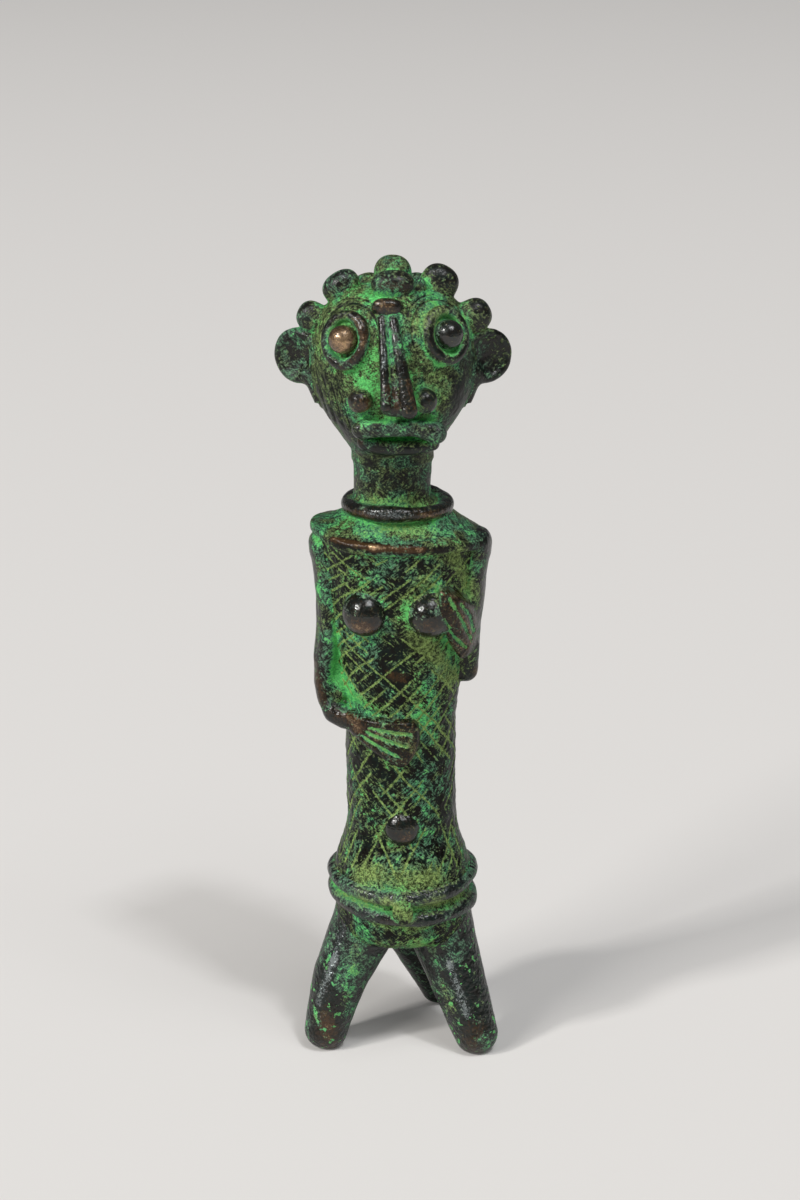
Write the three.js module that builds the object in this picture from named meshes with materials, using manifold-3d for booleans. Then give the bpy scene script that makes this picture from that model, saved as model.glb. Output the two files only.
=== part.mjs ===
// Small standing bronze figure in the lost-wax manner: a tapering trunk with rolls, coils, pellets
// and flattened paddles set on it. Millimetres, +Z up. The figure faces -Y, so its own right side
// is -X. The origin is under the middle of the figure, on the surface that it stands on.
import * as THREE from "three";
import { mergeVertices } from "three/addons/utils/BufferGeometryUtils.js";
import Module from "manifold-3d";

const wasm = await Module();
wasm.setup();

// Clearance between an applied piece and what carries it
const SEAT = 0.3;

// Heights, from the ground up
const HIP_HEIGHT = 18.4;
const TRUNK_LENGTH = 68.4;
const CAP_RISE = 3.5;
const NECK_LENGTH = 9.7;
const HEAD_HEIGHT = 26.5;

// Trunk: half width and half depth at three levels, and where it changes
const HIP_HALF_WIDTH = 10.9;
const HIP_HALF_DEPTH = 11;
const WAIST_HALF_WIDTH = 8.8;
const WAIST_HALF_DEPTH = 8.8;
const SHOULDER_HALF_WIDTH = 12.4;
const SHOULDER_HALF_DEPTH = 10.6;
const UNDERSIDE_RISE = 5.4;
const HIP_BAND_TOP = 11.6;
const FLARE_TOP = 21;
const WAIST_TOP = 38;
const UNDERSIDE_POWER = 2.4;
const TRUNK_LEAN = -0.011;
const TRUNK_OFFSET = 0.5;

// Shoulder cap
const CAP_HALF_WIDTH = 13.9;
const CAP_HALF_DEPTH = 11.2;
const CAP_RIM = 1.7;
const CAP_TILT = THREE.MathUtils.degToRad(4.5);

// Neck and its coil
const NECK_RADIUS = 6.15;
const NECK_WAISTING = 0.2;
const NECK_OFFSET = -1.15;
const NECK_EMBEDDING = 1;
const NECK_COIL_RADIUS = 7.6;
const NECK_COIL_THREAD = 1.15;
const NECK_COIL_OFFSET = -0.5;
const NECK_COIL_DROOP = 0.6;

// Head
const HEAD_HALF_WIDTH = 12.7;
const HEAD_HALF_DEPTH = 10.6;
const JAW_HEIGHT = 14.5;
const JAW_FORWARD = 1.3;
const HEAD_OFFSET = -1.1;
const CROWN_POWER = 2.4;

// Ears
const EAR_RADIUS = 4.3;
const EAR_THICKNESS = 1.5;
const EAR_CUP = 0.6;
const EAR_SPREAD = 14.3;
const EAR_DROP = 11.6;
const EAR_YAW = THREE.MathUtils.degToRad(28);

// Web of wax from the foot of each ear down to the jaw
const EAR_WEB_RADIUS = 1.2;
const EAR_WEB_TOP = { inward: 2, drop: 2.6 };
const EAR_WEB_FOOT = { inward: 3.2, drop: 6.4 };

// Eyes
const EYE_SPACING = 7.6;
const EYE_SHIFT = 0.45;
const EYE_DROP = 7;
const EYE_TILT = 0.3;
const EYE_RING_HALF_WIDTH = 3.25;
const EYE_RING_HALF_HEIGHT = 3.7;
const EYE_RING_THREAD = 0.85;
const EYEBALL_RADIUS = 2.2;
const EYEBALL_STAND = 0.7;

// Nose and mouth
const NOSE_TOP_DROP = 4;
const NOSE_LENGTH = 12.4;
const NOSE_TIP_REACH = 2.6;
const NOSE_SLANT = 1.6;
const NOSE_ROOT_SINK = 0.6;

// The flat core of the nose and the two ridges on it, each at the root and at the tip
const NOSE_CORE = { across: [1, 2.7], out: [0.5, 1.5] };
const NOSE_RIGHT_RIDGE = { shift: [-0.8, -1.75], stand: [0.8, 1.35], radius: [0.55, 0.9] };
const NOSE_LEFT_RIDGE = { shift: [0.8, 1.6], stand: [0.8, 1.15], radius: [0.65, 1.35] };

// Nostrils and lips
const NOSTRIL_RADIUS = 1.8;
const NOSTRIL_SPACING = 4.9;
const NOSTRIL_RISE = 0.4;
const NOSTRIL_LIP_GAP = 1.15;
const UPPER_LIP_HALF_WIDTH = 6.9;
const LOWER_LIP_HALF_WIDTH = 6.3;
const LOWER_LIP_REACH = 0.4;
const LIP_OFFSET = 0.9;
const LIP_REACH = 1.3;
const UPPER_LIP_RADIUS = 1.25;
const LOWER_LIP_RADIUS = 1.1;
const LIP_GAP = 1.1;

// How far the lips' ends hang, and how much thicker the upper lip is at its ends
const UPPER_LIP_DROOP = { right: 0.35, left: 0.9 };
const LOWER_LIP_DROOP = { right: -0.6, left: -0.4 };
const UPPER_LIP_SWELL = { right: 0.15, left: 0.35 };

// Pellet over the nose
const PELLET_HALF_WIDTH = 2.2;
const PELLET_HALF_HEIGHT = 1.2;
const PELLET_DROP = 2.3;
const PELLET_STAND = 0.3;

// Hair knobs: half width across, half depth and half height of each kind
const FRONT_KNOB = { across: 3.3, deep: 2.1, tall: 2.1 };
const TOP_KNOB = { across: 2.9, deep: 2.9, tall: 3 };
const BACK_KNOB = { across: 2.7, deep: 2.3, tall: 2.2 };
const RIGHT_TEMPLE_KNOB = { across: 3, deep: 2.3, tall: 2.2 };
const LEFT_TEMPLE_KNOB = { across: 2.9, deep: 2.3, tall: 2.9 };
const RIGHT_SIDE_KNOB = { across: 2.3, deep: 2.4, tall: 2.3 };
const LEFT_SIDE_KNOB = { across: 2.6, deep: 2.4, tall: 2.8 };
const REAR_KNOB = { across: 2.5, deep: 2.3, tall: 2.3 };
const KNOB_STAND = 0.9;
const CREST_FRONT_ANGLE = THREE.MathUtils.degToRad(19.5);
const CREST_TOP_ANGLE = THREE.MathUtils.degToRad(2.5);
const CREST_BACK_ANGLE = THREE.MathUtils.degToRad(62);
const CREST_NAPE_ANGLE = THREE.MathUtils.degToRad(94);
const RIGHT_TEMPLE_ANGLE = THREE.MathUtils.degToRad(35);
const LEFT_TEMPLE_ANGLE = THREE.MathUtils.degToRad(31);
const SIDE_ANGLE = THREE.MathUtils.degToRad(62);
const REAR_ANGLE = THREE.MathUtils.degToRad(45);
const REAR_TURN = THREE.MathUtils.degToRad(65);

// The small second lobe of the left temple knob
const LOBE_RADIUS = 1.7;
const LOBE_ANGLE = THREE.MathUtils.degToRad(23);
const LOBE_TURN = THREE.MathUtils.degToRad(-30);

// Domes on the trunk
const BREAST_RADIUS = 3.5;
const BREAST_HEIGHT = 3;
const RIGHT_BREAST_SPACING = 5.5;
const LEFT_BREAST_SPACING = 4.9;
const BREAST_DROP = 10.9;
const NAVEL_RADIUS = 2.5;
const NAVEL_HEIGHT = 1.4;
const NAVEL_RISE = 21.4;

// Belt
const BELT_THREAD = 1.1;
const UPPER_BELT_RISE = 11;
const LOWER_BELT_RISE = 7.5;
const LOWER_BELT_TILT = -0.075;
const BELT_SAG = 0.5;
const BELT_STAND = 0.25;
const BELT_JOIN_HALF_WIDTH = 1.7;
const BELT_JOIN_DEPTH = 0.8;
const BELT_JOIN_OVERLAP = 0.3;

// Arms: flat rolls on the sides of the trunk
const ARM_HALF_THICKNESS = 1.75;
const RIGHT_ARM_HALF_BREADTH = 3.3;
const LEFT_ARM_HALF_BREADTH = 4.2;
const RIGHT_SHOULDER_STAND = -0.15;
const LEFT_SHOULDER_STAND = 0.4;
const ARM_FORWARD = 1.8;
const ARMLET_LENGTH = 2.2;
const ARMLET_PROUD = 0.2;
const RIGHT_ELBOW_DROP = 24.5;
const RIGHT_ELBOW_STAND = 2.5;
const LEFT_ELBOW_DROP = 22.4;
const LEFT_ELBOW_STAND = 0.7;
const RIGHT_WRIST_DROP = 29.3;
const RIGHT_WRIST_SPREAD = 8.8;
const RIGHT_WRIST_STAND = 0.6;
const RIGHT_FOREARM_FORWARD = 3.8;
const WRIST_RADIUS = 1.6;
const WRIST_BAND_LENGTH = 1.6;
const LEFT_WRIST_DROP = 18.4;
const LEFT_WRIST_SPREAD = 11.6;
const LEFT_WRIST_STAND = 0.9;

// Web of wax that fills the gap between the right arm and the trunk
const ARM_WEB_TOP_DROP = 6.8;
const ARM_WEB_FOOT_DROP = 25.6;
const ARM_WEB_STAND = 1.1;
const ARM_WEB_BACK = 0.6;
const ARM_WEB_FORWARD = 2.8;
const ARM_WEB_HALF_BREADTH = 1.7;
const ARM_WEB_HALF_THICKNESS = 1;

// Hands
const HAND_THICKNESS = 1.5;
const FINGER_GROOVE_DEPTH = 0.7;
const FINGER_GROOVE_WIDTH = 0.8;
const RIGHT_HAND_LENGTH = 11.8;
const RIGHT_HAND_WRIST_WIDTH = 2.8;
const RIGHT_HAND_TIP_WIDTH = 8.2;
const RIGHT_HAND_SLOPE = THREE.MathUtils.degToRad(-16);
const LEFT_HAND_LENGTH = 13.2;
const LEFT_HAND_WIDTH = 6.2;
const LEFT_HAND_SLOPE = THREE.MathUtils.degToRad(113);

// Legs: tapering stumps, each from a hip point inside the trunk to a rounded foot
const THIGH_RADIUS = 5.6;
const FOOT_RADIUS = 3.6;
const SOLE_DEPTH = 0.6;
const HIP_SPACING = 5.6;
const HIP_JOINT_RISE = 3;
const HIP_FORWARD = 1.2;
const RIGHT_LEG_BOW = 0.9;
const RIGHT_FOOT = { x: -12.1, y: -4.8 };
const LEFT_FOOT = { x: 12.4, y: -6.4 };
const SUPPORT_THIGH_RADIUS = 4.6;
const SUPPORT_FOOT_RADIUS = 3.2;
const SUPPORT_FOOT = { x: 6.8, y: 12 };
const SUPPORT_OFFSET = 1;
const SUPPORT_BACK = 3;

// Numbers of facets
const TRUNK_SIDES = 28;
const HEAD_SIDES = 24;
const COIL_STEPS = 28;
const COIL_SIDES = 8;
const RING_STEPS = 20;
const ROLL_SIDES = 12;
const ROLL_STEP = 2.5;
const DOME_SIDES = 12;

// Heights worked out from the sizes above
const TRUNK_TOP = HIP_HEIGHT + TRUNK_LENGTH;
const NECK_FOOT = TRUNK_TOP + CAP_RISE;
const HEAD_FOOT = NECK_FOOT + NECK_LENGTH;
const HEAD_TOP = HEAD_FOOT + HEAD_HEIGHT;
const NOSE_TOP_Z = HEAD_TOP - NOSE_TOP_DROP;
const NOSE_TIP_Z = NOSE_TOP_Z - NOSE_LENGTH;
const NOSTRIL_Z = NOSE_TIP_Z + NOSTRIL_RISE;
const UPPER_LIP_Z = NOSTRIL_Z - NOSTRIL_RADIUS - NOSTRIL_LIP_GAP - UPPER_LIP_RADIUS;
const LOWER_LIP_Z = UPPER_LIP_Z - UPPER_LIP_RADIUS - LIP_GAP - LOWER_LIP_RADIUS;

const mix = THREE.MathUtils.lerp;
const smooth = THREE.MathUtils.smoothstep;

// Solids

// A closed three.js geometry as a manifold solid
function solid(geometry) {
  const plain = geometry.clone();
  plain.deleteAttribute("normal");
  plain.deleteAttribute("uv");
  const merged = mergeVertices(plain, 1e-4);
  const vertProperties = merged.attributes.position.array;
  const triVerts = new Uint32Array(merged.index.array);
  const made = new wasm.Manifold(new wasm.Mesh({ numProp: 3, vertProperties, triVerts }));
  if (made.volume() > 0) return made;
  for (let i = 0; i < triVerts.length; i += 3) {
    [triVerts[i + 1], triVerts[i + 2]] = [triVerts[i + 2], triVerts[i + 1]];
  }
  return new wasm.Manifold(new wasm.Mesh({ numProp: 3, vertProperties, triVerts }));
}

// A solid's vertices and triangles as a three.js geometry
function geometryOf(made) {
  const mesh = made.getMesh();
  const places = new Float32Array(mesh.numVert * 3);
  for (let i = 0; i < mesh.numVert; i++) {
    places.set(mesh.vertProperties.subarray(i * mesh.numProp, i * mesh.numProp + 3), i * 3);
  }
  const geometry = new THREE.BufferGeometry();
  geometry.setAttribute("position", new THREE.BufferAttribute(places, 3));
  geometry.setIndex(new THREE.BufferAttribute(mesh.triVerts, 1));
  geometry.computeVertexNormals();
  return geometry;
}

// The largest body of a solid, without the slivers that a cut can leave beside it
function mainBody(made) {
  const bodies = made.decompose();
  return bodies.reduce((best, body) => (body.volume() > best.volume() ? body : best));
}

// Moves every vertex of a geometry to the place that the function gives for it
function reshaped(geometry, placeOf) {
  const position = geometry.attributes.position;
  const at = new THREE.Vector3();
  for (let i = 0; i < position.count; i++) {
    placeOf(at.fromBufferAttribute(position, i));
    position.setXYZ(i, at.x, at.y, at.z);
  }
  return geometry;
}

// A lathe of unit radius about Z, one ring at each height, closed by a point at each end
function stack(heights, sides) {
  const rim = heights.map((height) => new THREE.Vector2(1, height));
  const low = new THREE.Vector2(0, heights[0]);
  const high = new THREE.Vector2(0, heights[heights.length - 1]);
  return new THREE.LatheGeometry([low, ...rim, high], sides).rotateX(Math.PI / 2);
}

function evenly(from, to, steps) {
  return Array.from({ length: steps + 1 }, (_, i) => mix(from, to, i / steps));
}

// An ellipsoid about a point, turned by an Euler rotation
function ellipsoid(centre, half, turn = new THREE.Euler(), grow = 0) {
  const ball = new THREE.SphereGeometry(1, DOME_SIDES, DOME_SIDES / 2);
  ball.scale(half.x + grow, half.y + grow, half.z + grow);
  ball.applyQuaternion(new THREE.Quaternion().setFromEuler(turn));
  ball.translate(centre.x, centre.y, centre.z);
  return solid(ball);
}

// A box given by its lowest and highest corners
function block(low, high) {
  const size = high.clone().sub(low);
  const box = new THREE.BoxGeometry(size.x, size.y, size.z);
  const middle = low.clone().add(high).multiplyScalar(0.5);
  return solid(box.translate(middle.x, middle.y, middle.z));
}

// The rings of a roll: where each lies along it, its radius as a share of the section, and how far it
// bulges past that place, as a share of the section's smaller half. A flat end is one point in a disc.
function rollRings(steps, roundStart, roundEnd) {
  const dome = [0, 30, 60].map((degrees) => THREE.MathUtils.degToRad(degrees));
  const start = dome.map((angle) => [0, Math.sin(angle), -Math.cos(angle)]);
  const end = dome.toReversed().map((angle) => [1, Math.sin(angle), Math.cos(angle)]);
  return [
    ...(roundStart ? start : [[0, 0, 0]]),
    ...evenly(0, 1, steps).map((share) => [share, 1, 0]),
    ...(roundEnd ? end : [[1, 0, 0]]),
  ];
}

// A wax roll along a smooth curve. Its section is an ellipse: half.across lies square to the given
// outward direction, half.out along it.
function roll(points, halfAt, outward, options = {}) {
  const { grow = 0, from = 0, to = 1, roundStart = true, roundEnd = true } = options;
  const curve = new THREE.CatmullRomCurve3(points, false, "centripetal");
  const steps = Math.max(4, Math.round((curve.getLength() * (to - from)) / ROLL_STEP));
  const rings = rollRings(steps, roundStart, roundEnd);
  const profile = rings.map(([, radius], i) => new THREE.Vector2(radius, i));
  return solid(
    reshaped(new THREE.LatheGeometry(profile, ROLL_SIDES), (at) => {
      const [share, , bulge] = rings[Math.round(at.y)];
      const along = mix(from, to, share);
      const half = halfAt(along);
      const tangent = curve.getTangentAt(along);
      const out = outward.clone().addScaledVector(tangent, -outward.dot(tangent)).normalize();
      const across = new THREE.Vector3().crossVectors(tangent, out);
      const reach = bulge * (Math.min(half.across, half.out) + grow);
      const sideways = at.x * (half.across + grow);
      const outwards = at.z * (half.out + grow);
      at.copy(curve.getPointAt(along))
        .addScaledVector(tangent, reach)
        .addScaledVector(across, sideways)
        .addScaledVector(out, outwards);
    }),
  );
}

// A closed coil: a torus whose every vertex goes to the ellipse and height that the host gives
function coil(halfWidth, halfDepth, thread, centreAt, grow = 0) {
  const ring = new THREE.TorusGeometry(1, 0.5, COIL_SIDES, COIL_STEPS);
  return solid(
    reshaped(ring, (at) => {
      const angle = Math.atan2(at.y, at.x);
      const outwards = (Math.hypot(at.x, at.y) - 1) * 2;
      const upwards = at.z * 2;
      const reach = outwards * (thread + grow);
      const centre = centreAt(angle);
      at.set(
        centre.x + Math.cos(angle) * (halfWidth + reach),
        centre.y + Math.sin(angle) * (halfDepth + reach),
        centre.z + upwards * (thread + grow),
      );
    }),
  );
}

// Trunk

function trunkAxisX(z) {
  return TRUNK_OFFSET + (z - HIP_HEIGHT) * TRUNK_LEAN;
}

// A trunk size at height z, out of its values at the hips, the waist and the shoulders
function trunkSize(z, hip, waist, shoulder) {
  const height = THREE.MathUtils.clamp(z - HIP_HEIGHT, 0, TRUNK_LENGTH);
  if (height < UNDERSIDE_RISE) {
    const up = 1 - height / UNDERSIDE_RISE;
    return hip * Math.sqrt(Math.max(0, 1 - up ** UNDERSIDE_POWER));
  }
  if (height < FLARE_TOP) return mix(hip, waist, smooth(height, HIP_BAND_TOP, FLARE_TOP));
  if (height < WAIST_TOP) return waist;
  return mix(waist, shoulder, (height - WAIST_TOP) / (TRUNK_LENGTH - WAIST_TOP));
}

const trunkHalfWidth = (z) => trunkSize(z, HIP_HALF_WIDTH, WAIST_HALF_WIDTH, SHOULDER_HALF_WIDTH);
const trunkHalfDepth = (z) => trunkSize(z, HIP_HALF_DEPTH, WAIST_HALF_DEPTH, SHOULDER_HALF_DEPTH);

// The point of the trunk's front at x and z, moved out by stand
function onTrunk(x, z, stand = 0) {
  const share = THREE.MathUtils.clamp((x - trunkAxisX(z)) / trunkHalfWidth(z), -0.98, 0.98);
  const y = -trunkHalfDepth(z) * Math.sqrt(1 - share ** 2) - stand;
  return new THREE.Vector3(x, y, z);
}

function trunkSolid(grow = 0) {
  const inside = 0.05;
  const heights = [
    ...evenly(HIP_HEIGHT + inside, HIP_HEIGHT + UNDERSIDE_RISE, 4),
    HIP_HEIGHT + HIP_BAND_TOP,
    ...evenly(HIP_HEIGHT + HIP_BAND_TOP, HIP_HEIGHT + FLARE_TOP, 4).slice(1),
    ...evenly(HIP_HEIGHT + WAIST_TOP, TRUNK_TOP, 6),
  ];
  const made = stack(heights, TRUNK_SIDES);
  return solid(
    reshaped(made, (at) => {
      const { z } = at;
      at.x = at.x * (trunkHalfWidth(z) + grow) + trunkAxisX(z);
      at.y *= trunkHalfDepth(z) + grow;
      if (z < HIP_HEIGHT + 2 * inside) at.z -= grow;
    }),
  );
}

// Shoulder cap

function capSolid(grow = 0) {
  const rim = CAP_RIM / 2;
  const crown = NECK_COIL_RADIUS + NECK_COIL_THREAD * 0.6;
  const profile = [
    [0, -rim - grow],
    [0.93, -rim - grow],
    [1, -rim * 0.45],
    [1, rim * 0.45],
    [0.95, rim + grow * 0.7],
    [mix(crown / CAP_HALF_WIDTH, 0.95, 0.45), mix(CAP_RISE, rim, 0.55) + grow],
    [crown / CAP_HALF_WIDTH, CAP_RISE + grow],
    [0, CAP_RISE + grow],
  ].map(([radius, z]) => new THREE.Vector2(radius, z));
  const made = new THREE.LatheGeometry(profile, TRUNK_SIDES).rotateX(Math.PI / 2);
  return solid(
    reshaped(made, (at) => {
      at.x *= CAP_HALF_WIDTH + grow;
      at.y *= CAP_HALF_DEPTH + grow;
      const slope = smooth(Math.abs(at.x), NECK_COIL_RADIUS, CAP_HALF_WIDTH);
      at.z -= Math.sign(at.x) * slope * CAP_HALF_WIDTH * Math.sin(CAP_TILT);
    }).translate(trunkAxisX(TRUNK_TOP), 0, TRUNK_TOP),
  );
}

// Neck and neck coil

function neckSolid(grow = 0) {
  const heights = evenly(NECK_FOOT - NECK_EMBEDDING, HEAD_FOOT + NECK_EMBEDDING, 6);
  const made = stack(heights, HEAD_SIDES);
  return solid(
    reshaped(made, (at) => {
      const share = THREE.MathUtils.clamp((at.z - NECK_FOOT) / NECK_LENGTH, 0, 1);
      const radius = NECK_RADIUS - NECK_WAISTING * Math.sin(share * Math.PI) + grow;
      at.x = at.x * radius + NECK_OFFSET;
      at.y *= radius;
    }),
  );
}

function neckCoil() {
  const height = NECK_FOOT + NECK_COIL_THREAD + SEAT;
  return coil(NECK_COIL_RADIUS, NECK_COIL_RADIUS, NECK_COIL_THREAD, (angle) => {
    return new THREE.Vector3(NECK_COIL_OFFSET, 0, height - NECK_COIL_DROOP * Math.cos(angle) ** 2);
  });
}

// Head

// A head size at height z: swelling from the neck to the cheekbones, then rounding to the crown
function headSize(z, widest) {
  const height = THREE.MathUtils.clamp(z - HEAD_FOOT, 0, HEAD_HEIGHT);
  if (height < JAW_HEIGHT) {
    return mix(NECK_RADIUS, widest, Math.sin((height / JAW_HEIGHT) * (Math.PI / 2)));
  }
  const share = (height - JAW_HEIGHT) / (HEAD_HEIGHT - JAW_HEIGHT);
  return widest * Math.max(0, 1 - share ** CROWN_POWER) ** (1 / CROWN_POWER);
}

const headHalfWidth = (z) => headSize(z, HEAD_HALF_WIDTH);
const headHalfDepth = (z) => headSize(z, HEAD_HALF_DEPTH);

// The jaw stands forward of the neck and the forehead
function headAxisY(z) {
  const share = THREE.MathUtils.clamp((z - HEAD_FOOT) / JAW_HEIGHT, 0, 1);
  return -JAW_FORWARD * Math.sin(share * Math.PI) ** 1.2;
}

// The point of the face at x (from the middle of the head) and z, moved out by stand
function onFace(x, z, stand = 0) {
  const share = THREE.MathUtils.clamp(x / headHalfWidth(z), -0.98, 0.98);
  const y = headAxisY(z) - headHalfDepth(z) * Math.sqrt(1 - share ** 2) - stand;
  return new THREE.Vector3(x + HEAD_OFFSET, y, z);
}

// Where a ray from the head's middle, leaning out by angle and turned about Z, meets the scalp
function onScalp(angle, turn) {
  const middle = HEAD_FOOT + JAW_HEIGHT;
  const rise = Math.cos(angle);
  const sideways = new THREE.Vector2(Math.cos(turn), Math.sin(turn)).multiplyScalar(Math.sin(angle));
  const up = (Math.max(rise, 0) / (HEAD_HEIGHT - JAW_HEIGHT)) ** CROWN_POWER;
  const flat = Math.hypot(sideways.x / HEAD_HALF_WIDTH, sideways.y / HEAD_HALF_DEPTH) ** CROWN_POWER;
  const reach = (up + flat) ** (-1 / CROWN_POWER);
  return new THREE.Vector3(HEAD_OFFSET + sideways.x * reach, sideways.y * reach, middle + rise * reach);
}

function headSolid(grow = 0) {
  const low = HEAD_FOOT - grow;
  const heights = [
    ...evenly(low, HEAD_FOOT + JAW_HEIGHT, 7),
    ...[0.25, 0.45, 0.62, 0.76, 0.87, 0.95, 0.99, 1].map((share) =>
      mix(HEAD_FOOT + JAW_HEIGHT, HEAD_TOP, share),
    ),
  ];
  const made = stack(heights, HEAD_SIDES);
  return solid(
    reshaped(made, (at) => {
      const { z } = at;
      at.x = at.x * (headHalfWidth(z) + grow) + HEAD_OFFSET;
      at.y = at.y * (headHalfDepth(z) + grow) + headAxisY(z);
      if (z > HEAD_TOP - 0.2) at.z += grow;
    }),
  );
}

function ear(side) {
  const back = EAR_THICKNESS / 2;
  const profile = [
    [0, -back],
    [EAR_RADIUS * 0.75, -back],
    [EAR_RADIUS, 0],
    [EAR_RADIUS * 0.9, back],
    [EAR_RADIUS * 0.65, back - EAR_CUP * 0.6],
    [0, back - EAR_CUP],
  ].map(([radius, height]) => new THREE.Vector2(radius, height));
  const disc = new THREE.LatheGeometry(profile, 20);
  disc.rotateX(Math.PI / 2);
  disc.rotateX(Math.PI / 2);
  disc.rotateZ(side * EAR_YAW);
  const middle = new THREE.Vector3(HEAD_OFFSET + side * EAR_SPREAD, 0, HEAD_TOP - EAR_DROP);
  const inward = new THREE.Vector3(-side * Math.cos(EAR_YAW), -Math.sin(EAR_YAW), 0);
  const facing = new THREE.Vector3(side * Math.sin(EAR_YAW), -Math.cos(EAR_YAW), 0);
  const line = [EAR_WEB_TOP, EAR_WEB_FOOT].map((end) => {
    return middle.clone().addScaledVector(inward, end.inward).setZ(middle.z - end.drop);
  });
  const half = (along) => {
    const radius = EAR_WEB_RADIUS * mix(1, 0.6, along);
    return { across: radius, out: radius };
  };
  return solid(disc.translate(middle.x, middle.y, middle.z)).add(roll(line, half, facing));
}

// The direction in which the face looks at one eye, and the eye's middle on the face
function eyeFrame(side) {
  const z = HEAD_TOP - EYE_DROP + side * EYE_TILT;
  const x = side * EYE_SPACING + EYE_SHIFT;
  const step = 0.5;
  const middle = onFace(x, z);
  const sideways = onFace(x + step, z).sub(onFace(x - step, z));
  const upwards = onFace(x, z + step).sub(onFace(x, z - step));
  const normal = new THREE.Vector3().crossVectors(sideways, upwards).normalize();
  const across = sideways.normalize();
  return { middle, normal, across, up: new THREE.Vector3().crossVectors(normal, across) };
}

function eyeRing(side) {
  const { middle, normal, across, up } = eyeFrame(side);
  const ring = new THREE.TorusGeometry(1, 0.5, COIL_SIDES, RING_STEPS);
  reshaped(ring, (at) => {
    const angle = Math.atan2(at.y, at.x);
    const reach = (Math.hypot(at.x, at.y) - 1) * 2 * EYE_RING_THREAD;
    const outwards = at.z * 2 * EYE_RING_THREAD;
    at.copy(middle)
      .addScaledVector(across, Math.cos(angle) * (EYE_RING_HALF_WIDTH + reach))
      .addScaledVector(up, Math.sin(angle) * (EYE_RING_HALF_HEIGHT + reach))
      .addScaledVector(normal, outwards);
  });
  return solid(ring);
}

function eyeball(side) {
  const { middle, normal } = eyeFrame(side);
  const size = new THREE.Vector3(EYEBALL_RADIUS, EYEBALL_RADIUS, EYEBALL_RADIUS);
  return ellipsoid(middle.addScaledVector(normal, EYEBALL_STAND), size);
}

function noseSolid(grow = 0) {
  const between = ([root, tip], share) => mix(root, tip, share);
  const line = (shift, stand) =>
    evenly(0, 1, 3).map((share) => {
      const x = between([-NOSE_SLANT / 2, NOSE_SLANT / 2], share) + between(shift, share);
      const reach = NOSE_TIP_REACH * share ** 1.2 - NOSE_ROOT_SINK;
      return onFace(x, mix(NOSE_TOP_Z, NOSE_TIP_Z, share), reach + between(stand, share));
    });
  const front = new THREE.Vector3(0, -1, 0);
  const coreHalf = (along) => ({
    across: between(NOSE_CORE.across, along),
    out: between(NOSE_CORE.out, along),
  });
  const core = roll(line([0, 0], [0, 0]), coreHalf, front, { grow });
  const ridge = ({ shift, stand, radius }) => {
    const half = (along) => ({ across: between(radius, along), out: between(radius, along) });
    return roll(line(shift, stand), half, front, { grow });
  };
  return core.add(ridge(NOSE_RIGHT_RIDGE)).add(ridge(NOSE_LEFT_RIDGE));
}

function nostril(side) {
  const place = onFace(side * NOSTRIL_SPACING, NOSTRIL_Z, NOSTRIL_RADIUS * 0.5);
  const size = new THREE.Vector3(NOSTRIL_RADIUS, NOSTRIL_RADIUS, NOSTRIL_RADIUS);
  return ellipsoid(place, size);
}

// A lip: its ends hang by droop, and it swells towards them
function lip(z, halfWidth, radius, reach, droop, swell = { right: 0, left: 0 }) {
  const points = evenly(-1, 1, 4).map((share) => {
    const along = onFace(share * (halfWidth - radius), z, reach);
    along.y = mix(along.y, onFace(0, z, reach).y, 0.4);
    along.x += LIP_OFFSET;
    along.z -= share ** 4 * (share > 0 ? droop.left : droop.right);
    return along;
  });
  const half = (along) => {
    const left = swell.left * smooth(along, 0.7, 1);
    const right = swell.right * smooth(1 - along, 0.7, 1);
    const size = radius * (1 + left + right);
    return { across: size, out: size };
  };
  return roll(points, half, new THREE.Vector3(0, -1, 0));
}

const upperLip = () =>
  lip(
    UPPER_LIP_Z,
    UPPER_LIP_HALF_WIDTH,
    UPPER_LIP_RADIUS,
    LIP_REACH,
    UPPER_LIP_DROOP,
    UPPER_LIP_SWELL,
  );
const lowerLip = () =>
  lip(
    LOWER_LIP_Z,
    LOWER_LIP_HALF_WIDTH,
    LOWER_LIP_RADIUS,
    LIP_REACH + LOWER_LIP_REACH,
    LOWER_LIP_DROOP,
  );

function pellet() {
  const place = onFace(-NOSE_SLANT / 2, HEAD_TOP - PELLET_DROP, PELLET_STAND);
  const half = new THREE.Vector3(PELLET_HALF_WIDTH, PELLET_HALF_HEIGHT, PELLET_HALF_HEIGHT);
  return ellipsoid(place, half);
}

// A hair knob that stands on the scalp, leaning out by angle towards the turn about Z
function knob(size, angle, turn, grow = 0) {
  const place = onScalp(angle, turn);
  const centre = new THREE.Vector3(HEAD_OFFSET, 0, HEAD_FOOT + JAW_HEIGHT);
  const out = place.clone().sub(centre).normalize();
  place.addScaledVector(out, KNOB_STAND);
  const ball = new THREE.SphereGeometry(1, DOME_SIDES, DOME_SIDES / 2);
  ball.scale(size.across + grow, size.deep + grow, size.tall + grow);
  ball.applyQuaternion(new THREE.Quaternion().setFromUnitVectors(new THREE.Vector3(0, 0, 1), out));
  return solid(ball.translate(place.x, place.y, place.z));
}

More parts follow.
